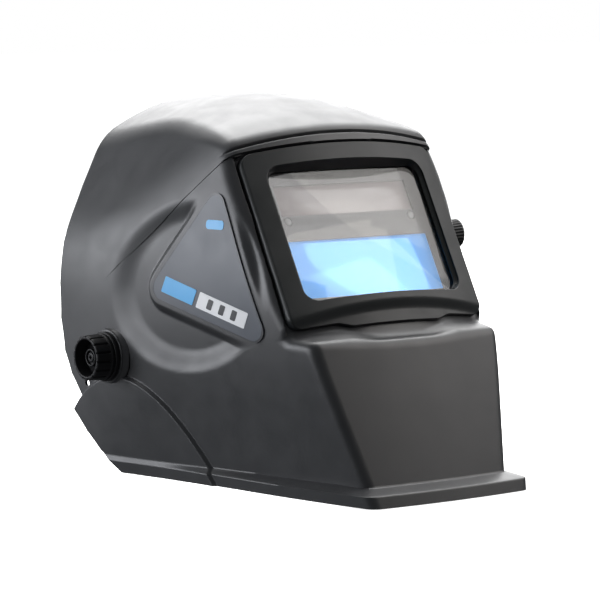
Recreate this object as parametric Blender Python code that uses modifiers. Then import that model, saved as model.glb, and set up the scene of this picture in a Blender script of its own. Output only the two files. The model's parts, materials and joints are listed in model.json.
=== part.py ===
"""Welding helmet: moulded shell, clip-on front frame, auto-darkening filter and ratchet headgear."""

import math

import bmesh
import bpy
import numpy as np
from mathutils import Matrix, Vector

# Driving dimensions, in millimetres and degrees. The drawing frame has +X to the wearer's left, -Y to the front and
# +Z up; SHIFT_Y centres the whole object's box on the origin.
SHIFT_Y = -33.79
MM = 0.001
FIT = 0.35  # gap kept between pieces

SHELL_WALL = 2.2
SIDE_X = 118.0  # half-width of the shell at the pivots
DOME_TOP = 267.0
DOME_FALL = 0.00213  # how fast the dome drops towards the brow
WINDOW_TILT = 28.8
SEAT = 131.0  # distance of the shell's window land along the window's normal
BOW = 12.0  # how far the front frame's ends sit back from its middle
LEDGE_DIP = 3.0  # finger pocket under the front frame's tab
FLANGE_FRONT = 12.0  # how far the chin flange stands out at the front
FLANGE_SIDE = 1.5
FLANGE_HIGH = 8.0  # outer face of the chin flange
SHELF_RISE = 3.5  # the shelf above it slopes up to the chin

FRAME_HALF = (84.0, 64.45)
FRAME_V = 126.45
FRAME_FRONT = 137.8
FRAME_ARCH = 2.2
TAB_DROP = 3.5
FACE_OPENING = (68.6, 50.0)
CLEAR_VIEW = (66.0, 48.4)
OPENING_V = 129.3
LENS_HALF = (70.2, 57.2)
LENS_V = 130.0
LENS_W = 124.2
LENS_THICK = 1.5
CARTRIDGE_W = 119.5  # front face of the filter cartridge
CARTRIDGE_DEPTH = 10.0
CELL = (58.0, 11.5, 158.5)  # half sizes and centre height of the solar cell's window
VIEW = (62.5, 21.5, 107.0)  # the same for the dark viewing window
SENSOR_AT = (54.2, 142.8)
SENSOR_R = 3.2
DIAL_V = 163.0
DIAL_U = 16.0
DIAL_R = 6.5
BATTERY_U = 48.0
BATTERY_R = 10.0

PIVOT = (90.0, 83.0)  # y and z of the headgear pivots
BOLT_R = 3.0
KNOB_R = 16.4
KNOB_LONG = 14.0
KNOB_LOBES = 15
WASHER_THICK = 3.2
WASHER_R = KNOB_R + 1.2
BOSS_R = WASHER_R + 1.4
BOSS_X = SIDE_X + 1.5
ARM_X = SIDE_X - 10.0
ARM_THICK = 2.4
SHADE_AT = (-19.0, 165.0)
SHADE_KNOB_R = 10.2
SHADE_KNOB_LONG = 12.0
SHADE_LOBES = 16
SHAFT_R = 2.9

BAND_AT = (0.0, 100.0, 118.0)  # centre of the headband's plane
BAND_TILT = 22.0
BAND_HALF = (80.0, 96.0)
BAND_THICK = 2.0
BAND_HIGH = 28.0
REAR_HIGH = 22.0
REAR_ROUND = 53.0
RATCHET_R = 19.0
RATCHET_LOBES = 18
STRAP_THICK = 1.5
CROWN_S, CROWN_LEAN, CROWN_HIGH = 22.0, 0.35, 96.0
SWEAT_THICK = 8.0
NAPE_THICK = 9.0

LABEL_CORNERS = [(-10.5, 194.5), (-48.5, 112.0), (35.5, 135.0)]  # y and z of the corner arcs' centres
LABEL_ROUND = 8.5
LABEL_THICK = 0.5
LABEL_LIFT = 0.75

# ---------------------------------------------------------------- scene
for old in list(bpy.data.objects):
    bpy.data.objects.remove(old)
for old in list(bpy.data.collections):
    bpy.data.collections.remove(old)
parts = bpy.data.collections.new("welding_helmet")
cutters = bpy.data.collections.new("welding_helmet_cutters")
bpy.context.scene.collection.children.link(parts)
bpy.context.scene.collection.children.link(cutters)


def material(name, colour, rough, metal=0.0, through=0.0, ior=1.5):
    made = bpy.data.materials.new(name)
    made.use_nodes = True
    shader = made.node_tree.nodes["Principled BSDF"]
    shader.inputs["Base Color"].default_value = (*colour, 1.0)
    shader.inputs["Roughness"].default_value = rough
    shader.inputs["Metallic"].default_value = metal
    shader.inputs["Transmission Weight"].default_value = through
    shader.inputs["IOR"].default_value = ior
    made.diffuse_color = (*colour, 1.0)
    return made


SHELL_MAT = material("shell_nylon", (0.105, 0.11, 0.12), 0.45)
FRAME_MAT = material("black_abs", (0.02, 0.021, 0.022), 0.42)
KNOB_MAT = material("knob_nylon", (0.012, 0.012, 0.013), 0.5)
LENS_MAT = material("clear_polycarbonate", (0.95, 0.97, 0.97), 0.02, through=0.95, ior=1.58)
CASE_MAT = material("cartridge_abs", (0.075, 0.08, 0.085), 0.45)
SOLAR_MAT = material("solar_glass", (0.12, 0.055, 0.05), 0.15)
BLUE_MAT = material("filter_glass", (0.03, 0.3, 0.85), 0.04, metal=0.3)
DARK_GLASS_MAT = material("lcd_glass", (0.01, 0.05, 0.04), 0.05)
SENSOR_MAT = material("sensor_lens", (0.004, 0.004, 0.006), 0.08)
BOARD_MAT = material("circuit_board", (0.02, 0.13, 0.05), 0.5)
STEEL_MAT = material("steel", (0.55, 0.56, 0.57), 0.28, metal=1.0)
BRASS_MAT = material("plated_brass", (0.62, 0.6, 0.55), 0.3, metal=1.0)
CABLE_MAT = material("cable_pvc", (0.02, 0.02, 0.02), 0.4)
LABEL_MAT = material("label_film", (0.16, 0.17, 0.185), 0.35)
BAND_MAT = material("headgear_nylon", (0.018, 0.018, 0.02), 0.5)
PAD_MAT = material("pad_foam", (0.03, 0.03, 0.033), 0.9)


# ---------------------------------------------------------------- placing
def scene_point(point):
    """A point of the drawing frame, in metres in the scene."""
    return Vector((point[0], point[1] + SHIFT_Y, point[2])) * MM


def placement(origin, axis, first):
    """Matrix with its local Z along the axis and its local X towards first."""
    z = Vector(axis).normalized()
    x = (Vector(first) - z * Vector(first).dot(z)).normalized()
    turn = Matrix((x, z.cross(x), z)).transposed().to_4x4()
    return Matrix.Translation(scene_point(origin)) @ turn


def drawing_point(place, a, b, c):
    """A local point of a placement, in the drawing frame."""
    found = place @ (Vector((a, b, c)) * MM)
    return Vector((found.x / MM, found.y / MM - SHIFT_Y, found.z / MM))


TILT_SIN, TILT_COS = math.sin(math.radians(WINDOW_TILT)), math.cos(math.radians(WINDOW_TILT))
BACK_W = CARTRIDGE_W - CARTRIDGE_DEPTH
HOOK_V = FRAME_V + FRAME_HALF[1] + FRAME_ARCH + 0.3
WORLD = placement((0, 0, 0), (0, 0, 1), (1, 0, 0))
WINDOW = placement((0, 0, 0), (0, -TILT_COS, TILT_SIN), (1, 0, 0))  # across, up the slope, out
BAND_UP = (0, math.sin(math.radians(BAND_TILT)), math.cos(math.radians(BAND_TILT)))
BAND = placement(BAND_AT, BAND_UP, (1, 0, 0))  # across, to the rear, up
REAR_AT = drawing_point(BAND, 0, BAND_HALF[1] + 2, 0)
BEHIND = placement(REAR_AT, (BAND @ Vector((0, 1, 0))) - BAND.translation, (1, 0, 0))


def sideways(sign):
    return placement((0, *PIVOT), (sign, 0, 0), (0, 0, 1))


def facing_wearer(across, up):
    """A placement on the cartridge's back whose Z points at the wearer."""
    return placement(drawing_point(WINDOW, across, up, BACK_W), (0, TILT_COS, -TILT_SIN), (1, 0, 0))


def joint_empty(name, origin):
    """An empty on a joint's axis, which carries the pieces that move with it."""
    made = bpy.data.objects.new(name, None)
    made.location = scene_point(origin)
    made.empty_display_size = 0.02
    parts.objects.link(made)
    return made


def carry(empty, *pieces):
    for piece in pieces:
        piece.parent = empty
        piece.matrix_parent_inverse = Matrix.Translation(empty.location).inverted()


# ---------------------------------------------------------------- modelling
def new_object(name, data, place, mat=None):
    """A piece, or a cutter when it has no material."""
    made = bpy.data.objects.new(name, data)
    (parts if mat else cutters).objects.link(made)
    made.matrix_world = place
    if mat:
        data.materials.append(mat)
    else:
        made.hide_render = True
        made.display_type = "WIRE"
    return made


def mesh_from(name, shape):
    mesh = bpy.data.meshes.new(name)
    shape.to_mesh(mesh)
    shape.free()
    return mesh


def boolean(target, tool, operation="DIFFERENCE"):
    step = target.modifiers.new(tool.name, "BOOLEAN")
    step.operation = operation
    step.solver = "EXACT"
    step.object = tool


def block(name, place, half, centre, mat=None):
    shape = bmesh.new()
    bmesh.ops.create_cube(shape, size=2 * MM, matrix=Matrix.Diagonal((*half, 1)))
    return new_object(name, mesh_from(name, shape), place @ Matrix.Translation(Vector(centre) * MM), mat)


def pegs(name, place, radius, low, high, centres=((0, 0),), sides=24, mat=None):
    """Upright cylinders between two heights; several make one cutter."""
    shape = bmesh.new()
    for x, y in centres:
        middle = Matrix.Translation(Vector((x, y, (low + high) / 2)) * MM)
        bmesh.ops.create_cone(shape, cap_ends=True, segments=sides, radius1=radius * MM, radius2=radius * MM,
                              depth=(high - low) * MM, matrix=middle)
    return new_object(name, mesh_from(name, shape), place, mat)


def turned(name, place, profile, mat=None, steps=32):
    """A (radius, height) profile turned about local Z, listed down its outer side; clear of the axis it is a ring."""
    shape = bmesh.new()
    verts = [shape.verts.new((r * MM, 0, h * MM)) for r, h in profile]
    ring = profile[0][0] > 0
    for a, b in zip(verts, verts[1:] + (verts[:1] if ring else [])):
        shape.edges.new((a, b))
    made = new_object(name, mesh_from(name, shape), place, mat)
    turn = made.modifiers.new("turn", "SCREW")
    turn.steps = turn.render_steps = steps
    turn.use_merge_vertices = True
    turn.merge_threshold = 0.00001
    turn.use_smooth_shade = True
    return made


def ring_of_lobes(name, place, count, radius, reach, low, high):
    """A cutter that leaves a knob's rim in lobes: cylinders standing on a circle."""
    turns = [2 * math.pi * i / count for i in range(count)]
    return pegs(name, place, radius, low, high, [(reach * math.cos(t), reach * math.sin(t)) for t in turns], 8)


def as_mesh(made):
    """A curve object made a mesh, with its caps welded on."""
    bpy.context.view_layer.update()
    mesh = bpy.data.meshes.new_from_object(made.evaluated_get(bpy.context.evaluated_depsgraph_get()))
    shape = bmesh.new()
    shape.from_mesh(mesh)
    bmesh.ops.remove_doubles(shape, verts=shape.verts, dist=0.000001)
    shape.to_mesh(mesh)
    shape.free()
    name, place, home = made.name, made.matrix_world.copy(), made.users_collection[0]
    hidden, shown_as = made.hide_render, made.display_type
    bpy.data.objects.remove(made)
    solid = bpy.data.objects.new(name, mesh)
    home.objects.link(solid)
    solid.matrix_world = place
    solid.hide_render, solid.display_type = hidden, shown_as
    return solid


def plate(name, place, outline, low, high, mat=None):
    """A flat outline in local XY, filled and given its thickness."""
    curve = bpy.data.curves.new(name, "CURVE")
    curve.dimensions = "2D"
    curve.fill_mode = "BOTH"
    curve.extrude = (high - low) / 2 * MM
    line = curve.splines.new("POLY")
    line.points.add(len(outline) - 1)
    for point, (x, y) in zip(line.points, outline):
        point.co = (x * MM, y * MM, 0, 1)
    line.use_cyclic_u = True
    middle = Matrix.Translation((0, 0, (low + high) / 2 * MM))
    return as_mesh(new_object(name, curve, place @ middle, mat))


def wire(name, path, radius, mat):
    """A round wire along a path of the drawing frame."""
    curve = bpy.data.curves.new(name, "CURVE")
    curve.dimensions = "3D"
    curve.bevel_depth = radius * MM
    curve.bevel_resolution = 2
    curve.use_fill_caps = True
    line = curve.splines.new("POLY")
    line.points.add(len(path) - 1)
    for point, where in zip(line.points, path):
        point.co = (*scene_point(where), 1)
    return new_object(name, curve, Matrix(), mat)


def ribbon(name, place, path, width, thick, mat):
    """A strap: a path in local XY drawn out along local Z, then given its thickness."""
    shape = bmesh.new()
    verts = [shape.verts.new((x * MM, y * MM, -width / 2 * MM)) for x, y in path]
    edges = [shape.edges.new(pair) for pair in zip(verts, verts[1:])]
    drawn = bmesh.ops.extrude_edge_only(shape, edges=edges)["geom"]
    moved = [v for v in drawn if isinstance(v, bmesh.types.BMVert)]
    bmesh.ops.translate(shape, verts=moved, vec=(0, 0, width * MM))
    made = new_object(name, mesh_from(name, shape), place, mat)
    wall = made.modifiers.new("thickness", "SOLIDIFY")
    wall.thickness = thick * MM
    wall.offset = 0
    wall.use_even_offset = True
    return made


def loft(name, loops, mat):
    """A closed ring through unlike sections of the drawing frame; the last section joins the first."""
    shape = bmesh.new()
    rings = [[shape.verts.new(scene_point(p)) for p in loop] for loop in loops]
    for low, high in zip(rings, rings[1:] + rings[:1]):
        for a, b, c, d in zip(low, low[1:] + low[:1], high[1:] + high[:1], high):
            shape.faces.new((a, b, c, d))
    bmesh.ops.recalc_face_normals(shape, faces=shape.faces)
    return new_object(name, mesh_from(name, shape), Matrix(), mat)


def rounded(half, radius, centre_v=0.0, along=1, corner=4):
    """Outline of a rounded rectangle, anticlockwise; along splits its long sides."""
    found = []
    for quarter, (sx, sy) in enumerate(((1, -1), (1, 1), (-1, 1), (-1, -1))):
        middle = np.array((sx * (half[0] - radius), sy * (half[1] - radius) + centre_v))
        for turn in np.radians(np.linspace(90 * quarter - 90, 90 * quarter, corner + 1)):
            found.append(middle + radius * np.array((math.cos(turn), math.sin(turn))))
        if quarter % 2:
            goal = found[-1] * (-1, 1)
            found += [found[-1] + (goal - found[-1]) * share for share in np.arange(1, along) / along]
    return np.array(found)


def smooth_path(knots, per):
    """Catmull-Rom curve through the knots."""
    knots = np.array(knots, float)
    full = np.vstack([2 * knots[0] - knots[1], knots, 2 * knots[-1] - knots[-2]])
    found = []
    for a, b, c, d in zip(full, full[1:], full[2:], full[3:]):
        for t in np.arange(per) / per:
            found.append(0.5 * (2 * b + (c - a) * t + (2 * a - 5 * b + 4 * c - d) * t * t
                                + (3 * b - a - 3 * c + d) * t ** 3))
    return np.array(found + [knots[-1]])


# ---------------------------------------------------------------- the shell's outer surface
def smooth_max(a, b, radius):
    blend = np.maximum(radius - np.abs(a - b), 0) / radius
    return np.maximum(a, b) + blend * blend * radius / 4


def smooth_step(x):
    x = np.clip(x, 0, 1)
    return x * x * (3 - 2 * x)


def cheek(y, z):
    """Height of the raised cheek panel at the shell's lower rear."""
    edge = 71 - 0.0095 * (y - 80) ** 2
    slope = 0.019 * (y - 80)
    return 2.6 * smooth_step((edge - z) / np.sqrt(1 + slope * slope) / 4.0)


def outside(x, y, z, detail=True):
    """Roughly the distance outside the shell's outer surface; negative inside."""
    x = np.abs(x)
    low_side = (x - (SIDE_X - 29.0 + 0.218 * y + 0.148 * z)) / 1.038
    mid_side = (x - (SIDE_X - 18.5 + 0.2 * y - 0.085 * (z - 186))) / 1.024
    top_side = (x - (SIDE_X - 1.5 - 0.054 * y - 0.467 * (z - 178))) / 1.105
    side = smooth_max(smooth_max(low_side, mid_side, 12), top_side, 12)
    side = smooth_max(side, x - SIDE_X - 1.5 + 0.02 * np.maximum(y - 60, 0), 12)
    if detail:
        side = side - cheek(y, z) * smooth_step((x - 60) / 15)
    fall = np.where(y < 75, DOME_FALL, 0.0009) * (y - 75) ** 2
    crown = 0.0018 + 0.001 * smooth_step((y + 10) / 60) + 0.0015 * smooth_step((y - 40) / 110)
    dome = (z - DOME_TOP + fall + crown * x * x) / 1.08
    front = -TILT_COS * y + TILT_SIN * z - SEAT + BOW * (x / FRAME_HALF[0]) ** 2
    brow = FRAME_V + FRAME_HALF[1] + FRAME_ARCH * (1 - (x / FRAME_HALF[0]) ** 2) + 0.8
    front = front - (FRAME_FRONT - SEAT) * smooth_step((TILT_SIN * y + TILT_COS * z - brow) / 1.2)
    chin = -0.9475 * y + 0.3198 * z - 131.4 + 3.5 * (x / 70) ** 2
    slope = 0.5 - 0.42 * (x / FRAME_HALF[0]) ** 2
    pocket = smooth_step((48 - x) / 30) * smooth_step((y + 104) / 10)
    ledge = 0.9 * (z - 106.3 - slope * (y + 101)) + LEDGE_DIP * pocket
    upper = smooth_max(front, dome, 5)
    body = smooth_max(smooth_max(-smooth_max(-upper, -ledge, 3), chin, 4), side, 7)
    reach = FLANGE_SIDE + (FLANGE_FRONT - FLANGE_SIDE) * smooth_step((60 - y) / 170)
    face = 1 - 0.16 * z / FLANGE_HIGH
    shelf = 0.84 * np.clip((FLANGE_HIGH + SHELF_RISE - z) / SHELF_RISE, 0, 1)
    return body - reach * np.where(z < FLANGE_HIGH, face, shelf)


# The rear rim in the side view, from the floor up. Rows of the surface start on it: level rows up to its first
# corner, and above that rows in planes that fan out from the line y = FAN_Y, z = 0.
RIM = np.array([(84.0, 0.0), (104.0, 14.0), (118.0, 27.0), (132.0, 41.0), (124.0, 50.0), (137.0, 66.0),
                (146.0, 82.0), (151.0, 105.0), (152.0, 130.0), (152.0, 160.0), (151.0, DOME_TOP - 67),
                (150.0, DOME_TOP - 32), (149.0, DOME_TOP - 10)])
FAN_Y = 260.0
BELOW = -3.0  # the first row lies under the floor and is trimmed off
LEVEL_ROWS = (BELOW, FLANGE_HIGH, FLANGE_HIGH + SHELF_RISE, RIM[1][1])
RIM_ANGLES = np.degrees(np.arctan2(RIM[:, 1], FAN_Y - RIM[:, 0]))
FAN_ROWS = (7, 10.5, 14, 16.2, 18.35, 20.5, 24, 28, 32, 36, 39.52, 39.8, 40.9, 41.4, 42, 43.5, 46.5, 50)
COLUMNS = 23


def row_starts():
    """Start point and direction, in the side view, of each row of the surface."""
    found = [(np.interp(z, RIM[:2, 1], RIM[:2, 0]), z, 0.0) for z in LEVEL_ROWS]
    top = RIM_ANGLES[-1] - 1.3
    reach = np.hypot(RIM[:, 1], FAN_Y - RIM[:, 0])
    for angle in (*FAN_ROWS, *np.linspace(FAN_ROWS[-1], top, 7)[1:]):
        start = np.interp(angle, RIM_ANGLES, reach)
        turn = math.radians(angle)
        found.append((FAN_Y - start * math.cos(turn), start * math.sin(turn), angle))
    return found


def surface_row(y, z, angle, columns, detail):
    """Points of the outer surface from the centre line to the rim, closer together where it curves."""
    ahead = (-math.cos(math.radians(angle)), math.sin(math.radians(angle)))
    fans = np.radians(np.linspace(0, 90, 361))
    low, high = np.zeros_like(fans), np.full_like(fans, 460.0)
    for _ in range(34):
        mid = (low + high) / 2
        forward = mid * np.cos(fans)
        inside = outside(mid * np.sin(fans), y + forward * ahead[0], z + forward * ahead[1], detail) < 0
        low, high = np.where(inside, mid, low), np.where(inside, high, mid)
    forward = low * np.cos(fans)
    points = np.stack([low * np.sin(fans), y + forward * ahead[0], z + forward * ahead[1]], 1)
    points[0, 0] = 0
    steps = np.diff(points, axis=0)
    length = np.linalg.norm(steps, axis=1)
    unit = steps / length[:, None]
    turn = np.zeros(len(points))
    turn[1:-1] = np.arccos(np.clip((unit[1:] * unit[:-1]).sum(1), -1, 1))
    turn = np.convolve(turn, np.ones(13) / 13, "same")[1:]
    weight = length / length.sum() + 0.5 * turn / turn.sum()
    travel = np.concatenate([[0], np.cumsum(weight)])
    stops = np.linspace(0, travel[-1], columns)
    return np.stack([np.interp(stops, travel, points[:, i]) for i in range(3)], 1)


def side_x(y, z):
    """Half-width of the outer surface at a point of the side view."""
    low, high = 40.0, 170.0
    for _ in range(40):
        mid = (low + high) / 2
        low, high = (mid, high) if outside(mid, y, z, False) < 0 else (low, mid)
    return low


def outward(y, z):
    """The outer surface's normal at a point of the side view, on the wearer's left."""
    step = 0.4
    slope_y = (side_x(y + step, z) - side_x(y - step, z)) / (2 * step)
    slope_z = (side_x(y, z + step) - side_x(y, z - step)) / (2 * step)
    return Vector((1, -slope_y, -slope_z)).normalized()


def grid_object(name, rows, mat):
    """An open surface: a grid whose points are moved onto the given rows."""
    shape = bmesh.new()
    bmesh.ops.create_grid(shape, x_segments=len(rows[0]) - 1, y_segments=len(rows) - 1, size=1)
    for vert, where in zip(shape.verts, (p for row in rows for p in row)):
        vert.co = scene_point(where)
    return new_object(name, mesh_from(name, shape), Matrix(), mat)


# ---------------------------------------------------------------- shell
SHADE = placement((side_x(*SHADE_AT), *SHADE_AT), (1, -0.2, 0.085), (0, 0, 1))


def make_shell():
    rows = [surface_row(*start, COLUMNS, True) for start in row_starts()]
    shell = grid_object("shell", rows, SHELL_MAT)
    halves = shell.modifiers.new("halves", "MIRROR")
    halves.merge_threshold = 0.00001
    wall = shell.modifiers.new("wall", "SOLIDIFY")
    wall.thickness = SHELL_WALL * MM
    wall.offset = -1
    boolean(shell, block("trim_floor", WORLD, (200, 300, 20), (0, 0, -20)))
    opening = (LENS_HALF[0] + 3.3, LENS_HALF[1] + 3.3)
    boolean(shell, plate("cut_window", WINDOW, rounded(opening, 8, LENS_V), 90, 160))
    for sign, hand in ((1, "left"), (-1, "right")):
        side = sideways(sign)
        boolean(shell, pegs("boss_" + hand, side, BOSS_R, SIDE_X - 3.8, BOSS_X, sides=32), "UNION")
        boolean(shell, pegs("bore_" + hand, side, BOLT_R + 0.5, SIDE_X - 18, SIDE_X + 12, sides=20))
        stop = placement((0, PIVOT[0] + 28, PIVOT[1] - 22), (sign, 0, 0), (0, 0, 1))
        boolean(shell, pegs("stop_hole_" + hand, stop, 2.6, SIDE_X - 18, SIDE_X + 12, sides=12))
    boolean(shell, pegs("shade_boss", SHADE, SHADE_KNOB_R + 0.3, -2.2, 0.9), "UNION")
    boolean(shell, pegs("shade_bore", SHADE, SHAFT_R + 1.5, -12, 8, sides=20))


# ---------------------------------------------------------------- front frame and cover lens
def frame_loop(half, radius, centre_v, out, bow=0.0, tab=0.0, arch=0.0):
    """One section of the front frame: an outline in the window's plane, bowed back at its ends."""
    loop = []
    for u, v in rounded(half, radius, centre_v, along=10):
        share = 1 - (u / FRAME_HALF[0]) ** 2
        if v < centre_v - half[1] * 0.8:
            v -= tab * smooth_step((50 - abs(u)) / 14)
        elif v > centre_v + half[1] * 0.8:
            v += arch * share
        loop.append(drawing_point(WINDOW, u, v, out - bow * (1 - share)))
    return loop


def make_front_frame():
    back = SEAT + FIT + 0.6
    face = (FRAME_HALF[0] - 2.2, FRAME_HALF[1] - 2.2)
    pocket = (LENS_HALF[0] + 1.3, LENS_HALF[1] + 1.3)
    lens_top = LENS_W + LENS_THICK + FIT
    frame = loft("front_frame", [
        frame_loop(FRAME_HALF, 9, FRAME_V, back, BOW, TAB_DROP, FRAME_ARCH),
        frame_loop(FRAME_HALF, 9, FRAME_V, FRAME_FRONT - 2, BOW, TAB_DROP, FRAME_ARCH),
        frame_loop(face, 8, FRAME_V, FRAME_FRONT, BOW, TAB_DROP, FRAME_ARCH),
        frame_loop(FACE_OPENING, 11, OPENING_V, FRAME_FRONT, BOW, 0, 1.2),
        frame_loop(CLEAR_VIEW, 9, OPENING_V, 127.2, 0.1),
        frame_loop(CLEAR_VIEW, 9, OPENING_V, lens_top),
        frame_loop(pocket, 7, LENS_V, lens_top),
        frame_loop(pocket, 7, LENS_V, back, BOW),
    ], FRAME_MAT)
    lens = plate("cover_lens", WINDOW, rounded(LENS_HALF, 5, LENS_V), LENS_W, LENS_W + LENS_THICK, LENS_MAT)
    carry(joint_empty("front_frame_hook", drawing_point(WINDOW, 0, HOOK_V, FRAME_FRONT + 0.6)), frame, lens)


# ---------------------------------------------------------------- cartridge holder and filter cartridge
def make_holder():
    def section(grow, radius, out):
        outline = rounded((LENS_HALF[0] + grow, LENS_HALF[1] + grow), radius, LENS_V)
        return [drawing_point(WINDOW, u, v, out) for u, v in outline]

    back, lip = BACK_W - 3, CARTRIDGE_W + 0.4
    top = LENS_W - 2
    loft("cartridge_holder", [
        section(9.8, 9, back), section(9.8, 9, back + 2.5), section(2.9, 7.6, back + 3.5),
        section(2.9, 7.6, top), section(-2.5, 4, top), section(-2.5, 4, lip), section(0.5, 5, lip),
        section(0.5, 5, back)], CASE_MAT)


def make_cartridge():
    shelf = BACK_W + 1.9
    front = plate("filter_case_front", WINDOW, rounded(LENS_HALF, 5, LENS_V), shelf, CARTRIDGE_W, CASE_MAT)
    hollow = (LENS_HALF[0] - 2, LENS_HALF[1] - 2)
    boolean(front, plate("cut_tray", WINDOW, rounded(hollow, 3.4, LENS_V), shelf - 3, CARTRIDGE_W - 1.6))
    boolean(front, block("cut_cell", WINDOW, (CELL[0], CELL[1], 6), (0, CELL[2], CARTRIDGE_W)))
    boolean(front, block("cut_view", WINDOW, (VIEW[0], VIEW[1], 6), (0, VIEW[2], CARTRIDGE_W)))
    for sign, hand in ((1, "left"), (-1, "right")):
        spot = WINDOW @ Matrix.Translation(Vector((sign * SENSOR_AT[0], SENSOR_AT[1], 0)) * MM)
        hole = pegs("cut_sensor_" + hand, spot, SENSOR_R + 0.4, CARTRIDGE_W - 8, CARTRIDGE_W + 6, sides=20)
        boolean(front, hole)
        top = CARTRIDGE_W + 0.3
        turned("arc_sensor_" + hand, spot, [(0, top), (SENSOR_R - 0.8, top), (SENSOR_R, top - 0.8),
                                            (SENSOR_R, top - 4), (0, top - 4)], SENSOR_MAT, 20)

    back = plate("filter_case_back", WINDOW, rounded(LENS_HALF, 5, LENS_V), BACK_W, BACK_W + 1.6, CASE_MAT)
    boolean(back, block("cut_back_view", WINDOW, (VIEW[0] - 6, VIEW[1] - 1, 6), (0, VIEW[2], BACK_W)))
    block("solar_cell", WINDOW, (CELL[0] + 2, CELL[1] + 0.6, 0.8), (0, CELL[2], CARTRIDGE_W - 2.8), SOLAR_MAT)
    glass = (VIEW[0] + 3, VIEW[1] + 2.5)
    block("uv_ir_filter", WINDOW, (*glass, 0.8), (0, VIEW[2], CARTRIDGE_W - 2.8), BLUE_MAT)
    block("lcd_panel", WINDOW, (*glass, 1.4), (0, VIEW[2], CARTRIDGE_W - 5.5), DARK_GLASS_MAT)
    block("circuit_board", WINDOW, (65, 22, 0.5), (0, 160, CARTRIDGE_W - 5.1), BOARD_MAT)
    inner = rounded((VIEW[0] - 2, glass[1]), 2, VIEW[2])
    plate("inner_cover_lens", WINDOW, inner, BACK_W - 1.35, BACK_W - FIT, LENS_MAT)
    make_battery_caps(back)
    for name, across in (("sensitivity_dial", DIAL_U), ("delay_dial", -DIAL_U)):
        place = facing_wearer(across, DIAL_V)
        dial = turned(name, place, [(0, 4.2), (DIAL_R - 0.8, 4.2), (DIAL_R, 3.4), (DIAL_R, 1.0),
                                    (DIAL_R - 0.6, FIT), (0, FIT)], KNOB_MAT, 24)
        boolean(dial, block("slot_" + name, place, (DIAL_R - 2, 0.7, 0.8), (0, 0, 4.2)))
        carry(joint_empty(name + "_axis", drawing_point(WINDOW, across, DIAL_V, BACK_W)), dial)


def make_battery_caps(back):
    for hand, across in (("left", BATTERY_U), ("right", -BATTERY_U)):
        place = facing_wearer(across, DIAL_V)
        neck, rim = BATTERY_R + 2.2, BATTERY_R + 3.6
        boolean(back, pegs("cut_battery_" + hand, place, neck + 0.4, -6, 6, sides=32))
        cap = turned("battery_cap_" + hand, place, [(0, 1.5), (rim, 1.5), (rim, 0.4), (neck, 0.4),
                                                    (neck, -1.5), (0, -1.5)], CASE_MAT)
        boolean(cap, block("coin_slot_" + hand, place, (7, 0.9, 0.7), (0, 0, 1.5)))
        carry(joint_empty("battery_cap_axis_" + hand, drawing_point(WINDOW, across, DIAL_V, BACK_W)), cap)
        pegs("battery_cell_" + hand, place, BATTERY_R, -3.8, -1.9, sides=32, mat=STEEL_MAT)


def make_spring():
    out = BACK_W - 4.6
    half = [(0, 134), (60, 136), (66, 140), (74, 150), (74, 186)]
    knots = [(-u, v) for u, v in half[:0:-1]] + half
    wire("spring_clip", smooth_path([drawing_point(WINDOW, u, v, out) for u, v in knots], 3), 0.9, STEEL_MAT)


# ---------------------------------------------------------------- external shade control, on the wearer's left
def make_shade_control():
    thread = SHAFT_R + 1
    turned("shade_potentiometer", SHADE, [(0, 11.0), (SHAFT_R, 11.0), (SHAFT_R, 4.6), (thread, 4.6),
                                          (thread, -3.2), (9.0, -3.2), (9.0, -14.0), (0, -14.0)],
           BRASS_MAT, 24)
    nut = pegs("shade_nut", SHADE, 7.2, 1.25, 3.4, sides=6, mat=BRASS_MAT)
    boolean(nut, pegs("nut_bore", SHADE, SHAFT_R + 1.4, 0, 5))
    top = 1.4 + SHADE_KNOB_LONG
    knob = turned("shade_knob", SHADE, [
        (SHADE_KNOB_R - 1.2, top), (SHADE_KNOB_R, top - 1.2), (SHADE_KNOB_R, 1.3), (8.2, 1.3), (8.2, 5.2),
        (SHAFT_R + FIT, 5.2), (SHAFT_R + FIT, top)], KNOB_MAT)
    boolean(knob, ring_of_lobes("shade_lobes", SHADE, SHADE_LOBES, 0.9, SHADE_KNOB_R + 0.2, 2.2, top + 2))
    carry(joint_empty("shade_axis", drawing_point(SHADE, 0, 0, 0)), knob)
    pot_back = drawing_point(SHADE, 0, 6.0, -15.4)
    route = [pot_back, pot_back + Vector((-6, 6, 0)), drawing_point(WINDOW, 78, 160, 95),
             drawing_point(WINDOW, 72, 152, 102), drawing_point(WINDOW, 66, 150, BACK_W - 1.6 - FIT)]
    wire("shade_cable", smooth_path(route, 4), 1.6, CABLE_MAT)


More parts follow.
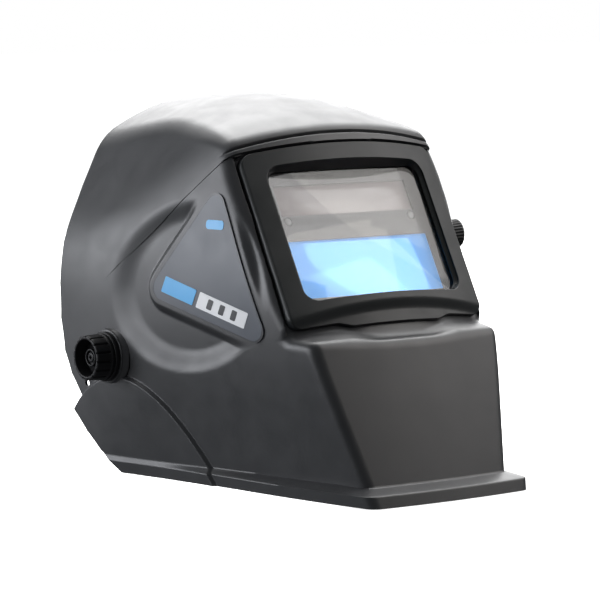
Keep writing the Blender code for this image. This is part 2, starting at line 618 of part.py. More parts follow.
# ---------------------------------------------------------------- side label, near the wearer's right cheek
def make_label():
    outline = []
    count = len(LABEL_CORNERS)
    for i in range(count):
        (ay, az), (by, bz), (cy, cz) = LABEL_CORNERS[i - 1], LABEL_CORNERS[i], LABEL_CORNERS[(i + 1) % count]
        start = math.atan2(-(by - ay), bz - az)
        turn = (math.atan2(-(cy - by), cz - bz) - start) % (2 * math.pi)
        for share in np.linspace(0, 1, 6):
            outline.append((by + LABEL_ROUND * math.cos(start + turn * share),
                            bz + LABEL_ROUND * math.sin(start + turn * share)))
    along = [p[0] for p in outline]
    high = [p[1] for p in outline]
    rows = []
    for z in np.linspace(min(high) - 2, max(high) + 2, 13):
        row = []
        for y in np.linspace(min(along) - 2, max(along) + 2, 13):
            lifted = Vector((side_x(y, z), y, z)) + outward(y, z) * LABEL_LIFT
            row.append((-lifted.x, lifted.y, lifted.z))
        rows.append(row)
    label = grid_object("side_label", rows, LABEL_MAT)
    film = label.modifiers.new("film", "SOLIDIFY")
    film.thickness = LABEL_THICK * MM
    film.offset = -1
    across = placement((0, 0, 0), (-1, 0, 0), (0, 1, 0))
    boolean(label, plate("label_outline", across, [(y, -z) for y, z in outline], 40, 150), "INTERSECT")


# ---------------------------------------------------------------- headgear
def oval(half_u, half_s, from_deg, to_deg, count, centre_s=0.0):
    """Points of the band's oval: 0 degrees at the front, positive to the wearer's left."""
    turns = np.radians(np.linspace(from_deg, to_deg, count))
    return [(half_u * math.sin(t), centre_s - half_s * math.cos(t)) for t in turns]


def leg(u, starts):
    return [(u, s) for s in starts]


REAR_U = BAND_HALF[0] - BAND_THICK - 0.5
REAR_S = BAND_HALF[1] + 2 - REAR_ROUND


def make_bands(headgear, rear_empty):
    path = (leg(-BAND_HALF[0], (46, 33.3, 20.6, 8)) + oval(*BAND_HALF, -90, 90, 25)
            + leg(BAND_HALF[0], (8, 20.6, 33.3, 46)))
    carry(headgear, ribbon("headband", BAND, path, BAND_HIGH, BAND_THICK, BAND_MAT))
    path = (leg(REAR_U, (12, 26, 40)) + oval(REAR_U, REAR_ROUND, 90, 270, 21, REAR_S)[1:-1]
            + leg(-REAR_U, (40, 26, 12)))
    carry(rear_empty, ribbon("rear_band", BAND, path, REAR_HIGH, BAND_THICK, BAND_MAT))
    inset = SWEAT_THICK / 2 + BAND_THICK / 2 + 0.6
    sweat = oval(BAND_HALF[0] - inset, BAND_HALF[1] - inset, -52, 52, 21)
    carry(headgear, ribbon("sweatband", BAND, sweat, 36, SWEAT_THICK, PAD_MAT))
    inset = NAPE_THICK / 2 + BAND_THICK / 2 + 1.5
    nape = oval(REAR_U - inset, REAR_ROUND - inset, 138, 222, 15, REAR_S)
    carry(rear_empty, ribbon("nape_pad", BAND, nape, 30, NAPE_THICK, PAD_MAT))


def make_ratchet(rear_empty):
    inner = BAND_THICK / 2 + 0.4
    top = inner + 8.4
    housing = plate("ratchet_housing", BEHIND, rounded((30, 15), 9), inner, top, BAND_MAT)
    carry(rear_empty, housing)
    knob = turned("ratchet_knob", BEHIND, [
        (0, top + 12.6), (5, top + 12.6), (6, top + 14.0), (RATCHET_R - 3, top + 14.0),
        (RATCHET_R - 1, top + 12.6), (RATCHET_R, top + 1.6), (RATCHET_R - 2, top + 0.4), (0, top + 0.4)],
                  KNOB_MAT, 40)
    lobes = ring_of_lobes("ratchet_lobes", BEHIND, RATCHET_LOBES, 1.6, RATCHET_R + 0.3, top + 2.4, top + 16)
    boolean(knob, lobes)
    carry(joint_empty("ratchet_axis", REAR_AT), knob)


def make_crown(headgear):
    """Two straps rise from the band's sides and overlap on top, held by a push pin."""
    lean = math.hypot(1, CROWN_LEAN)
    lean_axis = (BAND @ Vector((0, 1, CROWN_LEAN))) - BAND.translation
    place = placement(drawing_point(BAND, 0, CROWN_S, 0), lean_axis, (1, 0, 0))
    for sign, hand in ((1, "left"), (-1, "right")):
        over = 0.0 if sign > 0 else STRAP_THICK + 0.7
        side_in = BAND_HALF[0] + BAND_THICK / 2 + FIT + STRAP_THICK / 2
        knots = [(side_in, -10), (side_in, 14), (side_in - 6, 50 + over / 3), (side_in - 34, 84 + over),
                 (24, CROWN_HIGH - 2.2 + over), (0, CROWN_HIGH + over), (-16, CROWN_HIGH - 1 + over)]
        path = smooth_path([(sign * u, -high * lean) for u, high in knots], 3)
        carry(headgear, ribbon("crown_strap_" + hand, place, path, 17, STRAP_THICK, BAND_MAT))
    top = drawing_point(BAND, 0, CROWN_S - CROWN_LEAN * CROWN_HIGH, CROWN_HIGH + STRAP_THICK + 0.7)
    pin_place = placement(top, BAND_UP, (1, 0, 0))
    pin = turned("crown_pin", pin_place, [(0, 5.6), (3.6, 5.6), (5.0, 4.8), (5.0, 3.4), (0, 3.4)], BAND_MAT, 20)
    carry(headgear, pin)


def make_pivots(headgear):
    level = placement((0, PIVOT[0] - 1, 0), (0, 1, 0), (1, 0, 0))  # local Y points down
    band_side = BAND_HALF[0] + BAND_THICK / 2 + FIT + ARM_THICK / 2 + 0.15
    for sign, hand in ((1, "left"), (-1, "right")):
        side = sideways(sign)
        knots = [(band_side, 122), (band_side + 0.7, 114), (band_side + 9.3, 104), (ARM_X - 3, 98), (ARM_X, 90),
                 (ARM_X, 66)]
        path = smooth_path([(sign * x, -z) for x, z in knots], 3)
        arm = ribbon("side_arm_" + hand, level, path, 24, ARM_THICK, BAND_MAT)
        boolean(arm, pegs("arm_bore_" + hand, side, BOLT_R + 0.5, ARM_X - 6, ARM_X + 6, sides=20))
        plate_low = ARM_X + ARM_THICK / 2 + 0.6
        bore = BOLT_R + 0.5
        stop = turned("stop_plate_" + hand, side, [(12, plate_low + 2), (12, plate_low), (bore, plate_low),
                                                   (bore, plate_low + 2)], FRAME_MAT, 24)
        head = ARM_X - ARM_THICK / 2 - 0.5
        bolt_end = BOSS_X + 12
        bolt = turned("pivot_bolt_" + hand, side, [(0, bolt_end), (BOLT_R, bolt_end), (BOLT_R, head), (8.5, head),
                                                   (8.5, head - 3.1), (0, head - 3.1)], STEEL_MAT, 24)
        low = BOSS_X + 0.4
        turned("knob_washer_" + hand, side, [(WASHER_R, low + WASHER_THICK), (WASHER_R, low), (bore, low),
                                             (bore, low + WASHER_THICK)], KNOB_MAT)
        carry(headgear, arm, stop, bolt)
        make_tension_knob(sign, hand, side, low + WASHER_THICK + 0.4)


def make_tension_knob(sign, hand, side, base):
    """Lobed knob with a deep recess round its hub."""
    end = base + KNOB_LONG
    knob = turned("tension_knob_" + hand, side, [
        (KNOB_R - 1.6, end), (KNOB_R - 0.4, end - 1.2), (KNOB_R, base + 2), (KNOB_R - 1, base),
        (BOLT_R + 0.4, base), (BOLT_R + 0.6, end - 3.5), (BOLT_R + 3, end - 3.5), (BOLT_R + 3.2, base + 5.4),
        (KNOB_R - 3.8, base + 6), (KNOB_R - 3.4, end)], KNOB_MAT)
    boolean(knob, ring_of_lobes("lobes_" + hand, side, KNOB_LOBES, 1.3, KNOB_R + 0.3, base + 2.6, end + 2))
    carry(joint_empty("tension_knob_axis_" + hand, (sign * BOSS_X, *PIVOT)), knob)


make_shell()
make_front_frame()
make_holder()
make_cartridge()
make_spring()
make_shade_control()
make_label()
headgear_empty = joint_empty("headgear_pivot", (0, *PIVOT))
rear_band_empty = joint_empty("rear_band_slide", REAR_AT)
make_bands(headgear_empty, rear_band_empty)
make_ratchet(rear_band_empty)
make_crown(headgear_empty)
make_pivots(headgear_empty)
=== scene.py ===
"""Looks of the welding helmet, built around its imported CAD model.

Lengths in this script are millimetres in the drawing frame that the CAD uses, and place() turns them into metres.
+X is the wearer's left, -Y is where the helmet faces and +Z is up.
"""

import json
import math

import bmesh
import bpy
import numpy as np
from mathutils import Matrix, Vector

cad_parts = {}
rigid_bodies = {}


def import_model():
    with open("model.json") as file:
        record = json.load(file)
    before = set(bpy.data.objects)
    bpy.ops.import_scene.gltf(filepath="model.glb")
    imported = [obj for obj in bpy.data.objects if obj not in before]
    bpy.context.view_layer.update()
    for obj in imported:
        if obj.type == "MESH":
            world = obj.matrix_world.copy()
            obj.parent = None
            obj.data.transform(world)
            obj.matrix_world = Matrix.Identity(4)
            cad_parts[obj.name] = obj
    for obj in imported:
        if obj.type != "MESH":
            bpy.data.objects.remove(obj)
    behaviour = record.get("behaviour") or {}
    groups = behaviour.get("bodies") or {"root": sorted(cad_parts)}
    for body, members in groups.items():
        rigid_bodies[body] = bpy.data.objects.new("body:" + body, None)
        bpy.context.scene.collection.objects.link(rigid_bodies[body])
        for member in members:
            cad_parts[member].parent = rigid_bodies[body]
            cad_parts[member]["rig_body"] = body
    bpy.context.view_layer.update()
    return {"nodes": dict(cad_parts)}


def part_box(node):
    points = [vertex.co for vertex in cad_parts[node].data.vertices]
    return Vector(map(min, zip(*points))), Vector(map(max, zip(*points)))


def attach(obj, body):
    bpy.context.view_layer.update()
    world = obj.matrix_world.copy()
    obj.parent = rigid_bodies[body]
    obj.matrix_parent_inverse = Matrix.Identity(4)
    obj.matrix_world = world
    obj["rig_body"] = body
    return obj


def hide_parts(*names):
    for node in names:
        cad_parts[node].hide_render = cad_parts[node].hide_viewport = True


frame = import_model()

# ---------------------------------------------------------------- dimensions shared with the CAD
PIVOT = (90.0, 83.0)  # y and z of the headgear pivots
bolt_low, bolt_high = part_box("pivot_bolt_left")
SHIFT_Y = 500 * (bolt_low.y + bolt_high.y) - PIVOT[0]  # the CAD centres its box, so its parts are moved along Y
SHELL_WALL = 2.2
WINDOW_TILT = 28.8
TILT_SIN, TILT_COS = math.sin(math.radians(WINDOW_TILT)), math.cos(math.radians(WINDOW_TILT))
BOW = 12.0
SEAT = 131.0
FLANGE_FRONT, FLANGE_SIDE, FLANGE_HIGH, SHELF_RISE = 12.0, 1.5, 8.0, 3.5
FRAME_HALF_U, FRAME_HALF_V, FRAME_V, FRAME_FRONT, FRAME_ARCH = 84.0, 64.45, 126.45, 137.8, 2.2
FACE_OPENING, OPENING_V = (68.6, 50.0), 129.3  # the opening at the face, wider than the clear view behind it
CLEAR_VIEW = (66.0, 48.4)
LENS_HALF, LENS_V, LENS_W = (70.2, 57.2), 130.0, 124.2
CARTRIDGE_W = 119.5
DIAL_U, DIAL_V = 16.0, 163.0
DOME_TOP, DOME_FALL = 267.0, 0.00213
SIDE_X = 118.0
ARM_X = 108.0
BOSS_X, BOSS_R = 119.5, 19.0
WASHER_R, WASHER_THICK = 17.6, 3.2
KNOB_R, KNOB_LONG = 16.4, 14.0
SHADE_AT = (-19.0, 165.0)
SHADE_KNOB_R, SHADE_KNOB_LONG = 10.2, 12.0
BAND_AT, BAND_TILT = (0.0, 100.0, 118.0), 22.0
BAND_HALF, BAND_THICK, BAND_HIGH, REAR_HIGH = (80.0, 96.0), 2.0, 28.0, 22.0
RATCHET_R = 19.0
LABEL_CORNERS = [(-10.5, 194.5), (-48.5, 112.0), (35.5, 135.0)]
LABEL_ROUND = 10.0

# Details that only the looks have.
RIDGE = 4.2  # height of the soft ridge that runs down each side of the front frame
CORNER_SHARE = 0.35  # how far the points of a row crowd towards its curves
FLANGE_FULL = 0.95  # how much of the flange's reach its outer face has


def place(points):
    """Drawing frame in millimetres to the scene in metres."""
    return (np.asarray(points, float) + (0.0, SHIFT_Y, 0.0)) * 0.001


def window(u, v, w):
    """Across, up the slope and out along the normal of the window's plane."""
    return np.stack(np.broadcast_arrays(u, v * TILT_SIN - w * TILT_COS, v * TILT_COS + w * TILT_SIN), -1)


def smooth_step(x):
    x = np.clip(x, 0, 1)
    return x * x * (3 - 2 * x)


def smooth_max(a, b, radius):
    blend = np.maximum(radius - np.abs(a - b), 0) / radius
    return np.maximum(a, b) + blend * blend * radius / 4


# ---------------------------------------------------------------- materials
def nodes_of(name):
    made = bpy.data.materials.new(name)
    made.use_nodes = True
    tree = made.node_tree
    return made, tree, tree.nodes["Principled BSDF"]


def fill(tree, made, inputs):
    """Sets a node's inputs, each from a plain value or from the socket that feeds it."""
    for name, given in inputs.items():
        if isinstance(given, bpy.types.NodeSocket):
            tree.links.new(given, made.inputs[name])
        else:
            made.inputs[name].default_value = given


def add(tree, kind, inputs, out=0):
    """Adds a shader node and gives back one of its outputs."""
    made = tree.nodes.new("ShaderNode" + kind)
    fill(tree, made, inputs)
    return made.outputs[out]


def combine(tree, operation, *given):
    made = tree.nodes.new("ShaderNodeMath")
    made.operation = operation
    fill(tree, made, dict(enumerate(given)))
    return made.outputs[0]


def noise(tree, scale, detail=3.0, stretch=(1, 1, 1)):
    """Noise in object space; scale is features per metre."""
    where = add(tree, "TexCoord", {}, "Object")
    shaped = add(tree, "Mapping", {"Vector": where, "Scale": stretch})
    return add(tree, "TexNoise", {"Vector": shaped, "Scale": scale, "Detail": detail}, "Fac")


def ramp(tree, value, low, high, start=0.3, end=0.7):
    out = add(tree, "ValToRGB", {"Fac": value}, "Color")
    first, last = out.node.color_ramp.elements
    first.position, last.position = start, end
    first.color, last.color = (*low, 1), (*high, 1)
    return out


def span(tree, value, low, high, start=0.3, end=0.7):
    return add(tree, "MapRange", {"Value": value, "From Min": start, "From Max": end,
                                  "To Min": low, "To Max": high})


def bump(tree, shader, value, strength, distance, below=None):
    inputs = {"Strength": strength, "Distance": distance, "Height": value}
    if below:
        inputs["Normal"] = below
    normal = add(tree, "Bump", inputs)
    fill(tree, shader, {"Normal": normal})
    return normal


def plastic(name, dark, light, rough, spread=0.06, grain=2600.0, grain_deep=0.00006, streak=False, specular=0.5):
    """Moulded plastic: slow colour drift, uneven gloss, a fine spark-eroded grain and faint handling marks."""
    made, tree, shader = nodes_of(name)
    sheen = noise(tree, 240.0, 5.0, (0.15, 1, 0.15)) if streak else noise(tree, 60.0, 5.0)
    fill(tree, shader, {"Base Color": ramp(tree, noise(tree, 22.0, 4.0), dark, light),
                        "Roughness": span(tree, sheen, rough - spread, rough + spread),
                        "Specular IOR Level": specular})
    first = bump(tree, shader, noise(tree, grain, 2.0), 0.35, grain_deep)
    scuffs = noise(tree, 380.0, 6.0, (1, 0.2, 1))
    bump(tree, shader, span(tree, scuffs, 0, 1, 0.62, 0.66), 0.12, 0.00003, first)
    return made


def metal(name, dark, light, rough):
    made, tree, shader = nodes_of(name)
    brushed = noise(tree, 900.0, 4.0)
    fill(tree, shader, {"Base Color": ramp(tree, noise(tree, 90.0, 4.0), dark, light), "Metallic": 1.0,
                        "Roughness": span(tree, brushed, rough - 0.08, rough + 0.1)})
    bump(tree, shader, brushed, 0.15, 0.00003)
    return made


def fabric(name, dark, light, pitch):
    """Knitted cover: two crossed waves make the loops, with lint in its colour and a soft sheen."""
    made, tree, shader = nodes_of(name)
    where = add(tree, "TexCoord", {}, "Object")
    waves = []
    for turn in (math.radians(38), math.radians(-38)):
        turned = add(tree, "Mapping", {"Vector": where, "Rotation": (turn, turn, turn)})
        waves.append(add(tree, "TexWave", {"Vector": turned, "Scale": pitch / 6.28, "Distortion": 0.6,
                                           "Detail Scale": 2.0}, "Fac"))
    loops = combine(tree, "MULTIPLY", *waves)
    linted = combine(tree, "MULTIPLY_ADD", loops, 0.6, span(tree, noise(tree, 260.0, 6.0), 0, 0.4))
    fill(tree, shader, {"Base Color": ramp(tree, linted, dark, light, 0.1, 0.9), "Roughness": 0.92,
                        "Sheen Weight": 0.35, "Sheen Roughness": 0.5})
    bump(tree, shader, loops, 0.6, 0.00035)
    return made


def clear_sheet(name, tint, rough):
    """Clear polycarbonate: light passes straight through, and the gloss rises towards the edge of sight."""
    made, tree, shader = nodes_of(name)
    see = add(tree, "BsdfTransparent", {"Color": (*tint, 1)})
    gloss = add(tree, "BsdfGlossy", {"Roughness": span(tree, noise(tree, 35.0), rough * 0.6, rough * 1.5)})
    steep = combine(tree, "POWER", add(tree, "LayerWeight", {}, "Facing"), 4.0)
    mix = add(tree, "MixShader", {"Fac": span(tree, steep, 0.05, 0.9, 0.0, 1.0), 1: see, 2: gloss})
    fill(tree, tree.nodes["Material Output"], {"Surface": mix})
    tree.nodes.remove(shader)
    return made


def solar(name):
    """Thin-film solar cell: warm violet-brown with fine parallel scribe lines."""
    made, tree, shader = nodes_of(name)
    lines = add(tree, "TexWave", {"Vector": add(tree, "TexCoord", {}, "Object"), "Scale": 290.0}, "Fac")
    fill(tree, shader, {"Base Color": ramp(tree, lines, (0.16, 0.105, 0.105), (0.27, 0.19, 0.19), 0.08, 0.4),
                        "Roughness": span(tree, noise(tree, 50.0), 0.16, 0.3), "Coat Weight": 0.5})
    return made


def coated_glass(name, dark, light, metallic, glow):
    """Interference-coated filter glass: one colour that drifts a little over the plate. Any glow makes the plate
    emit that colour: a painted reflection standing in for the coating's strong reflected colour.
    """
    made, tree, shader = nodes_of(name)
    tint = ramp(tree, noise(tree, 9.0, 2.0), dark, light, 0.25, 0.75)
    fill(tree, shader, {"Base Color": tint, "Emission Color": tint, "Emission Strength": glow, "Metallic": metallic,
                        "Roughness": span(tree, noise(tree, 40.0), 0.08, 0.16), "Coat Weight": 0.6})
    return made


SHELL = plastic("helmet_shell_nylon", (0.024, 0.025, 0.027), (0.031, 0.032, 0.034), 0.40, 0.04, grain=2200.0)
BLACK = plastic("front_frame_abs", (0.014, 0.016, 0.0165), (0.019, 0.021, 0.0215), 0.42, 0.05, grain=2000.0,
                specular=0.3)
KNOB = plastic("knob_nylon_black", (0.008, 0.008, 0.009), (0.014, 0.014, 0.015), 0.36, grain=1800.0, specular=0.18)
CASE = plastic("cartridge_case_abs", (0.03, 0.028, 0.03), (0.042, 0.04, 0.042), 0.5, 0.05)
HOLDER = plastic("holder_abs", (0.03, 0.031, 0.033), (0.04, 0.041, 0.043), 0.5, 0.05)
STRAP = plastic("strap_nylon", (0.012, 0.012, 0.014), (0.02, 0.02, 0.022), 0.44, 0.08, grain=1500.0, streak=True)
CABLE = plastic("cable_sleeve", (0.01, 0.01, 0.01), (0.02, 0.02, 0.02), 0.38, grain=1200.0)
BOARD = plastic("board_resist", (0.008, 0.07, 0.025), (0.014, 0.11, 0.04), 0.4, 0.05)
LABEL = plastic("label_print", (0.085, 0.095, 0.112), (0.1, 0.11, 0.127), 0.34, 0.05, grain=3200.0,
                grain_deep=0.00002, specular=0.36)
# Dark ink for the printed slashes, and painted shade for the ring round the label's raised edge.
LABEL_PRINT_AND_EDGE_SHADE = plastic("label_print_and_edge_shade", (0.02, 0.022, 0.026), (0.03, 0.032, 0.036), 0.35, 0.04)
LABEL_BLUE = plastic("label_blue", (0.05, 0.36, 0.72), (0.08, 0.42, 0.8), 0.33, 0.04, grain_deep=0.00002)
LABEL_WHITE = plastic("label_white", (0.72, 0.73, 0.74), (0.82, 0.83, 0.84), 0.35, 0.04, grain_deep=0.00002)
SENSOR = plastic("sensor_window", (0.002, 0.002, 0.003), (0.005, 0.005, 0.007), 0.12, 0.03, grain_deep=0.00001)
STEEL = metal("zinc_steel", (0.45, 0.46, 0.47), (0.62, 0.63, 0.64), 0.3)
BRASS = metal("nickel_plate", (0.5, 0.48, 0.44), (0.66, 0.63, 0.57), 0.28)
FOAM = fabric("pad_cover_knit", (0.012, 0.012, 0.013), (0.045, 0.045, 0.048), 1400.0)
LENS = clear_sheet("cover_lens_polycarbonate", (0.97, 0.98, 0.98), 0.035)
INNER_LENS = clear_sheet("inner_lens_polycarbonate", (0.95, 0.96, 0.96), 0.05)
SOLAR = solar("solar_film")
# The blue filter's emission is a painted reflection: the plate glows blue though it is no lamp.
BLUE = coated_glass("blue_filter_coating_and_painted_glow", (0.03, 0.36, 0.93), (0.045, 0.42, 1.0), 0.25, 0.42)
LCD = coated_glass("lcd_stack", (0.008, 0.03, 0.028), (0.014, 0.05, 0.045), 0.0, 0.0)


# ---------------------------------------------------------------- building pieces
def linked(name, data):
    made = bpy.data.objects.new(name, data)
    bpy.context.scene.collection.objects.link(made)
    return made


def new_object(name, points, faces):
    """A mesh object at the origin from points in the drawing frame, with its faces turned outwards."""
    mesh = bpy.data.meshes.new(name)
    mesh.from_pydata([Vector(p) for p in place(points)], [], [tuple(f) for f in faces])
    shape = bmesh.new()
    shape.from_mesh(mesh)
    bmesh.ops.recalc_face_normals(shape, faces=shape.faces)
    shape.to_mesh(mesh)
    shape.free()
    return linked(name, mesh)


def evaluated_mesh(made):
    bpy.context.view_layer.update()
    return bpy.data.meshes.new_from_object(made.evaluated_get(bpy.context.evaluated_depsgraph_get()))


def settle(made):
    """Applies every modifier."""
    ready = evaluated_mesh(made)
    made.modifiers.clear()
    made.data = ready


def carve(made, tool):
    """Cuts with a tool that is then thrown away."""
    step = made.modifiers.new("carve", "BOOLEAN")
    step.operation = "DIFFERENCE"
    step.solver = "EXACT"
    step.object = tool
    settle(made)
    bpy.data.objects.remove(tool)


def soften(made, width, segments=2):
    step = made.modifiers.new("edges", "BEVEL")
    step.width = width * 0.001
    step.segments = segments
    step.limit_method = "ANGLE"
    step.angle_limit = math.radians(30)
    step.use_clamp_overlap = True
    step.harden_normals = False


def finish_piece(made, mat, body, stands_for=(), sharp=40):
    made.data.materials.clear()
    made.data.materials.append(mat)
    settle(made)
    made.data.shade_smooth()
    made.data.set_sharp_from_angle(angle=math.radians(sharp))
    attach(made, body)
    if stands_for:
        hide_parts(*stands_for)


def refined_piece(node, mat, width, segments=2):
    """A CAD node's mesh with its flat faces made whole again and its edges bevelled, on the node's own body."""
    source = frame["nodes"][node]
    shape = bmesh.new()
    shape.from_mesh(source.data)
    bmesh.ops.remove_doubles(shape, verts=shape.verts, dist=0.00001)
    bmesh.ops.dissolve_limit(shape, angle_limit=math.radians(1.0), verts=shape.verts, edges=shape.edges)
    mesh = bpy.data.meshes.new(node + "_skin")
    shape.to_mesh(mesh)
    shape.free()
    made = linked(node + "_skin", mesh)
    soften(made, width, segments)
    finish_piece(made, mat, source["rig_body"], [node], sharp=35)


class Axes:
    """A local frame: maps (a, b, c) to the drawing frame, c along the axis."""

    def __init__(self, origin, axis, first):
        self.origin = np.array(origin, float)
        self.c = np.array(axis, float) / np.linalg.norm(axis)
        first = np.array(first, float)
        first -= self.c * (first @ self.c)
        self.a = first / np.linalg.norm(first)
        self.b = np.cross(self.c, self.a)

    def __call__(self, points):
        points = np.asarray(points, float)
        return self.origin + points[..., :1] * self.a + points[..., 1:2] * self.b + points[..., 2:] * self.c


WIN = Axes((0, 0, 0), (0, -TILT_COS, TILT_SIN), (1, 0, 0))


def rounded(half_x, half_y, radius, corner, along_x, along_y):
    """Points of a rounded rectangle, anticlockwise from its lower right corner."""
    def on_arc(turn, angle):
        sx, sy = ((1, -1), (1, 1), (-1, 1), (-1, -1))[turn % 4]
        centre = np.array((sx * (half_x - radius), sy * (half_y - radius)))
        return centre + radius * np.array((math.cos(angle), math.sin(angle)))

    found = []
    for turn in range(4):
        found += [on_arc(turn, angle) for angle in np.radians(np.linspace(90 * turn - 90, 90 * turn, corner + 1))]
        last, goal = found[-1], on_arc(turn + 1, math.radians(90 * turn))
        count = along_x if turn % 2 else along_y
        found += [last + (goal - last) * share for share in np.arange(1, count) / count]
    return np.array(found)


def loft(loops, capped=True):
    """Faces over equal-length closed loops: a capped tube, or a ring when the last loop joins the first."""
    count = len(loops[0])
    rows = len(loops) - 1 if capped else len(loops)
    faces = []
    for row in range(rows):
        low, high = row * count, (row + 1) % len(loops) * count
        faces += [(low + i, low + (i + 1) % count, high + (i + 1) % count, high + i) for i in range(count)]
    if capped:
        faces.append(tuple(range(count))[::-1])
        faces.append(tuple(range((len(loops) - 1) * count, len(loops) * count)))
    return np.concatenate(loops), faces


def at(flat, height):
    return np.column_stack([flat, np.full(len(flat), height)])


def rounded_profile(corners, radius, steps=4):
    """A closed profile of (r, h) corners with each corner rounded."""
    corners = np.array(corners, float)
    found = []
    for before, here, after in zip(np.roll(corners, 1, 0), corners, np.roll(corners, -1, 0)):
        back, on = before - here, after - here
        reach = min(radius, np.linalg.norm(back) * 0.45, np.linalg.norm(on) * 0.45)
        start = here + back / np.linalg.norm(back) * reach
        end = here + on / np.linalg.norm(on) * reach
        for t in np.linspace(0, 1, steps):
            found.append((1 - t) ** 2 * start + 2 * t * (1 - t) * here + t * t * end)
    return found


def lathe(name, axes, corners, radius=0.4, count=96, groove=None):
    """A turned ring from a closed profile; groove(angle, r, h) takes depth off the radius."""
    turn = np.arange(count) * 2 * math.pi / count
    loops = []
    for r, h in rounded_profile(corners, radius):
        radii = np.full(count, r) - (groove(turn, r, h) if groove else 0)
        loops.append(axes(np.stack([radii * np.cos(turn), radii * np.sin(turn), np.full(count, h)], 1)))
    return new_object(name, *loft(loops, capped=False))


def prism(name, axes, flat, low, high):
    points, faces = loft([at(flat, low), at(flat, high)])
    return new_object(name, axes(points), faces)


def circle(radius, count):
    turn = np.arange(count) * 2 * math.pi / count
    return np.stack([radius * np.cos(turn), radius * np.sin(turn)], 1)


def smooth_path(knots, per):
    """Catmull-Rom curve through the knots."""
    knots = np.array(knots, float)
    full = np.vstack([2 * knots[0] - knots[1], knots, 2 * knots[-1] - knots[-2]])
    found = []
    for a, b, c, d in zip(full, full[1:], full[2:], full[3:]):
        for t in np.arange(per) / per:
            found.append(0.5 * (2 * b + (c - a) * t + (2 * a - 5 * b + 4 * c - d) * t * t
                                + (3 * b - a - 3 * c + d) * t ** 3))
    return np.array(found + [knots[-1]])


def strap(path, side, section):
    """A closed section swept along a path; side gives the section's outward direction at each point."""
    path, side = np.array(path, float), np.array(side, float)
    ahead = np.gradient(path, axis=0)
    ahead /= np.linalg.norm(ahead, axis=1)[:, None]
    side = side - ahead * (side * ahead).sum(1)[:, None]
    side /= np.linalg.norm(side, axis=1)[:, None]
    up = np.cross(ahead, side)
    return loft([p + section[:, :1] * s + section[:, 1:] * u for p, s, u in zip(path, side, up)])


# ---------------------------------------------------------------- the shell's outer surface
def triangle_distance(y, z, corners, radius):
    """Distance outside a rounded triangle in the side view; negative inside."""
    inside, nearest = True, np.inf
    for (ay, az), (by, bz) in zip(corners, corners[1:] + corners[:1]):
        ey, ez = by - ay, bz - az
        share = np.clip(((y - ay) * ey + (z - az) * ez) / (ey * ey + ez * ez), 0, 1)
        nearest = np.minimum(nearest, np.hypot(y - ay - share * ey, z - az - share * ez))
        inside = inside & (ey * (z - az) - ez * (y - ay) > 0)
    return np.where(inside, -nearest, nearest) - radius


def scallop(y, z):
    """Depth of the crescent hollow that runs round the label's panel."""
    turn = math.radians(-14)
    across = (y - 12) * math.cos(turn) + (z - 138) * math.sin(turn)
    along = -(y - 12) * math.sin(turn) + (z - 138) * math.cos(turn)
    reach = np.sqrt((across / 78) ** 2 + (along / 61) ** 2)
    dip = smooth_step((1 - reach) / 0.3)
    off_panel = smooth_step((triangle_distance(y, z, LABEL_CORNERS, LABEL_ROUND) - 1.5) / 7)
    return 5.0 * dip * off_panel * smooth_step((y + 75) / 30)


def cheek(y, z):
    """Height of the raised cheek panel at the shell's lower rear."""
    edge = 71 - 0.0095 * (y - 80) ** 2
    slope = 0.019 * (y - 80)
    return 2.6 * smooth_step((edge - z) / np.sqrt(1 + slope * slope) / 2.6)


def outside(x, y, z, detail=True):
    """Roughly the distance outside the shell's outer surface; negative inside."""
    x = np.abs(x)
    low_side = (x - (89.0 + 0.218 * y + 0.148 * z)) / 1.038
    mid_side = (x - (99.5 + 0.2 * y - 0.085 * (z - 186))) / 1.024
    top_side = (x - (116.5 - 0.054 * y - 0.467 * (z - 178))) / 1.105
    side = smooth_max(smooth_max(low_side, mid_side, 12), top_side, 12)
    side = smooth_max(side, x - SIDE_X - 1.5 + 0.02 * np.maximum(y - 60, 0), 12)
    if detail:
        on_side = smooth_step((x - 60) / 15)
        side = side + scallop(y, z) * on_side - cheek(y, z) * on_side
    fall = np.where(y < 75, DOME_FALL, 0.0009) * (y - 75) ** 2
    crown = 0.0018 + 0.001 * smooth_step((y + 10) / 60) + 0.0015 * smooth_step((y - 40) / 110)
    dome = (z - DOME_TOP + fall + crown * x * x) / 1.08
    up_window = TILT_SIN * y + TILT_COS * z
    beside = smooth_step((x - FRAME_HALF_U - 0.5) / 1.2) * smooth_step((up_window - 58) / 8)
    bowed = (x / FRAME_HALF_U) ** 2
    front = -TILT_COS * y + TILT_SIN * z - SEAT + BOW * bowed
    seam = FRAME_V + FRAME_HALF_V + FRAME_ARCH * (1 - bowed) + 0.8
    groove = 2.0 * np.exp(-((up_window - 201.3 + 4.6 * bowed) / 0.8) ** 2)
    brow = (FRAME_FRONT - SEAT) * smooth_step((up_window - seam) / 0.8) - groove
    front = front - np.maximum(RIDGE * beside, brow)
    chin = -0.9475 * y + 0.3198 * z - 131.4 + 3.5 * (x / 70) ** 2
    slope = 0.5 - 0.42 * bowed
    pocket = smooth_step((48 - x) / 30) * smooth_step((y + 104) / 10)
    ledge = 0.9 * (z - 106.3 - slope * (y + 101)) + 3.0 * pocket
    upper = smooth_max(front, dome, 3)
    body = smooth_max(smooth_max(-smooth_max(-upper, -ledge, 3), chin, 4), side, 7)
    reach = FLANGE_SIDE + (FLANGE_FRONT - FLANGE_SIDE) * smooth_step((60 - y) / 170)
    return body - FLANGE_FULL * reach * np.clip((FLANGE_HIGH + SHELF_RISE - z) / SHELF_RISE, 0, 1)


FAN_Y = 260.0
RIM = ((84.0, 0.0), (104.0, 14.0), (118.0, 27.0), (132.0, 41.0), (124.0, 50.0), (137.0, 66.0), (146.0, 82.0),
       (151.0, 105.0), (152.0, 130.0), (152.0, 160.0), (151.0, 200.0), (150.0, 235.0), (149.0, 257.0))


